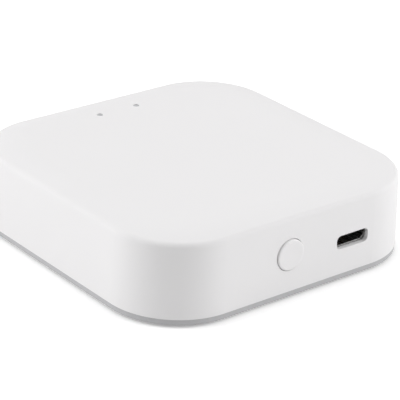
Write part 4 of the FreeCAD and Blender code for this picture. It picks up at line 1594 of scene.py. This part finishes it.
class GATEWAY_OT_power(bpy.types.Operator):
    """Makes the power parts: regulator, two capacitors, fuse and surge diode"""

    bl_idname = "gateway.power"
    bl_label = "Power parts"

    lean = 0.3 * MM
    dimple_step = Vector((0.9, 0.9, -0.05)) * MM
    dimple_radius = 0.35 * MM
    gull_sheet = 0.25 * MM
    gull_bends = (-0.3 * MM, 0.45 * MM, 0.75 * MM)
    lead_width = 0.7 * MM
    tab_width = 3.0 * MM
    fold_sheet = 0.15 * MM
    fold_root = 0.3 * MM
    fold_foot = 0.8 * MM
    body_raise = 0.12 * MM
    band_from = 0.9 * MM
    band_to = 0.1 * MM

    def execute(self, context):
        resin, tin = chip_resin("power chip resin"), solder_metal("lead tin")
        self.regulator(resin, tin)
        amber = plastic("tantalum resin", (0.62, 0.34, 0.05), 0.08, smooth=0.34, rough=0.46)
        dark = plastic("tantalum band", (0.20, 0.09, 0.02), 0.08, smooth=0.34, rough=0.46)
        for name in ("input_capacitor", "output_capacitor"):
            self.leaded(name, amber, dark, tin, "capacitor_plastic", 0.35 * MM, 2.2 * MM)
        band = plastic("polarity band", (0.55, 0.55, 0.53), 0.05, smooth=0.4, rough=0.5)
        self.leaded("surge_diode", resin, band, tin, "chip_plastic", 0.5 * MM, 1.6 * MM)
        coat = plastic("fuse coating", (0.03, 0.22, 0.09), 0.1, smooth=0.28, rough=0.4)
        fuse = end_capped(*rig.box("resettable_fuse"), ACROSS, 0.5 * MM, coat, tin)
        settle(fuse, "resettable_fuse_chip", "fuse_plastic", ["resettable_fuse"])
        return {"FINISHED"}

    def moulded_body(self, low, high):
        """A moulded body whose faces lean in from a parting line at mid height."""
        body, size = block(low, high), high - low
        narrower = ((size.x - self.lean) / size.x, (size.y - self.lean) / size.y, 1)
        split(body, (low + high) / 2, UP)
        for up in (-1, 1):
            pick("faces", lambda face: face.normal.z * up > 0.9)
            bpy.ops.transform.resize(value=narrower)
        leave()
        return soften(body, 0.06 * MM, turn=12.0)

    def regulator(self, resin, tin):
        """The regulator, with three gull-wing leads and a wide tab."""
        low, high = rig.box("voltage_regulator")
        body = self.moulded_body(low, high)
        dimpled(body, flat(low, high.z) + self.dimple_step, self.dimple_radius)
        settle(body, "voltage_regulator_body", "chip_plastic", ["voltage_regulator"], resin)
        lead_low, lead_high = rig.box("regulator_leads")
        floor, knee = lead_low.z + self.gull_sheet / 2, (low.z + high.z) / 2
        leads = []
        for out, start, end, width, places in (
            (-1, low.y, lead_low.y, self.lead_width, REGULATOR_LEADS),
            (1, high.y, lead_high.y, self.tab_width, (0.0,)),
        ):
            bends = zip(self.gull_bends, (knee, knee, floor))
            path = [(start + out * bend, height) for bend, height in bends] + [(end, floor)]
            for place in places:
                left = (low.x + high.x) / 2 + place * MM - width / 2
                leads.append(strip(path, INWARD, ACROSS, left, width, self.gull_sheet))
        settle(joined(leads), "regulator_gull_leads", "solder", ["regulator_leads"], tin)

    def leaded(self, name, resin, band, tin, slot, lead_reach, lead_width):
        """A moulded part with a polarity band and a lead folded under each end."""
        low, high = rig.box(name)
        body_low = low + ACROSS * lead_reach * 0.5 + UP * self.body_raise
        body_high = high - ACROSS * lead_reach * 0.5
        body = self.moulded_body(body_low, body_high)
        band_start, band_end = body_high.x - self.band_from, body_high.x - self.band_to
        split(body, ACROSS * band_start, ACROSS)
        leave()
        paint(body, resin)
        body.data.materials.append(band)
        for face in body.data.polygons:
            if band_start < face.center.x < band_end and face.normal.z > 0.5:
                face.material_index = 1
        thick = self.fold_sheet
        front = (low.y + high.y - lead_width) / 2
        floor, knee = low.z + thick / 2, (body_low.z + body_high.z) / 2
        parts = [body]
        for side, end, wall in ((-1, low.x, body_low.x), (1, high.x, body_high.x)):
            bend = end - side * thick / 2
            path = [(wall - side * self.fold_root, knee), (bend, knee)]
            path += [(bend, floor), (wall - side * self.fold_foot, floor)]
            parts.append(paint(strip(path, ACROSS, INWARD, front, lead_width, thick), tin))
        settle(joined(parts), name + "_moulded", slot, [name])


class GATEWAY_OT_chips(bpy.types.Operator):
    """Makes the rows of chip resistors and chip capacitors"""

    bl_idname = "gateway.chips"
    bl_label = "Chip resistors and capacitors"

    def execute(self, context):
        tin = solder_metal("chip end tin")
        ceramic = plastic("resistor ceramic", (0.72, 0.72, 0.70), 0.04, smooth=0.4, rough=0.5)
        glaze = plastic("resistor glaze", (0.02, 0.02, 0.02), 0.2, smooth=0.22, rough=0.34)
        fired = plastic("capacitor ceramic", (0.42, 0.28, 0.16), 0.08, smooth=0.3, rough=0.42)
        slots = ("resistor_ceramic", "capacitor_ceramic")
        for name, slot, body, top in zip(CHIP_ROWS, slots, (ceramic, fired), (glaze, None)):
            low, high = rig.box(name)
            first = Vector((low.x + CHIP_WIDTH * MM, high.y, high.z))
            one = end_capped(low, first, INWARD, 0.3 * MM, body, tin, top)
            steps = [ACROSS * (i * CHIP_PITCH * MM) for i in range(1, len(row_places(name)))]
            settle(repeated(one, steps), name + "_row", slot, [name])
        return {"FINISHED"}


class GATEWAY_PT_panel(bpy.types.Panel):
    """Lists the steps that finish the gateway"""

    bl_idname = "GATEWAY_PT_panel"
    bl_label = "Gateway"
    bl_space_type = "VIEW_3D"
    bl_region_type = "UI"
    bl_category = "Gateway"

    def draw(self, context):
        for step in steps:
            self.layout.operator(step.bl_idname)


steps = (
    GATEWAY_OT_case,
    GATEWAY_OT_button,
    GATEWAY_OT_feet,
    GATEWAY_OT_label,
    GATEWAY_OT_lights,
    GATEWAY_OT_screws,
    GATEWAY_OT_socket,
    GATEWAY_OT_switch,
    GATEWAY_OT_board,
    GATEWAY_OT_modules,
    GATEWAY_OT_power,
    GATEWAY_OT_chips,
    GATEWAY_OT_stage,
)
settings = {
    "gateway_sizes": GatewaySizes,
    "gateway_colours": GatewayColours,
    "gateway_stage": GatewayStage,
}


def register():
    """Makes the steps and settings known to Blender."""
    for cls in (*settings.values(), *steps, GATEWAY_PT_panel):
        bpy.utils.register_class(cls)
    for name, cls in settings.items():
        setattr(bpy.types.Scene, name, bpy.props.PointerProperty(type=cls))


def unregister():
    """Takes the steps and settings out of Blender again."""
    for name in settings:
        delattr(bpy.types.Scene, name)
    for cls in (GATEWAY_PT_panel, *reversed(steps), *settings.values()):
        bpy.utils.unregister_class(cls)


def write_sizes():
    """Writes the CAD box and the visual model's box."""
    boxes = {"cad": cad_bounds, "visual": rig.bounds()}
    with open("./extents.json", "w") as out:
        json.dump({name: [list(corner) for corner in box] for name, box in boxes.items()}, out)


def main():
    """Finishes the gateway, step by step."""
    register()
    make_effects()
    bpy.ops.gateway.case()
    bpy.ops.gateway.button()
    bpy.ops.gateway.feet()
    bpy.ops.gateway.label()
    bpy.ops.gateway.lights()
    bpy.ops.gateway.screws()
    bpy.ops.gateway.socket()
    bpy.ops.gateway.switch()
    bpy.ops.gateway.board()
    bpy.ops.gateway.modules()
    bpy.ops.gateway.power()
    bpy.ops.gateway.chips()
    bpy.ops.gateway.stage()
    write_sizes()


if __name__ == "__main__":
    main()
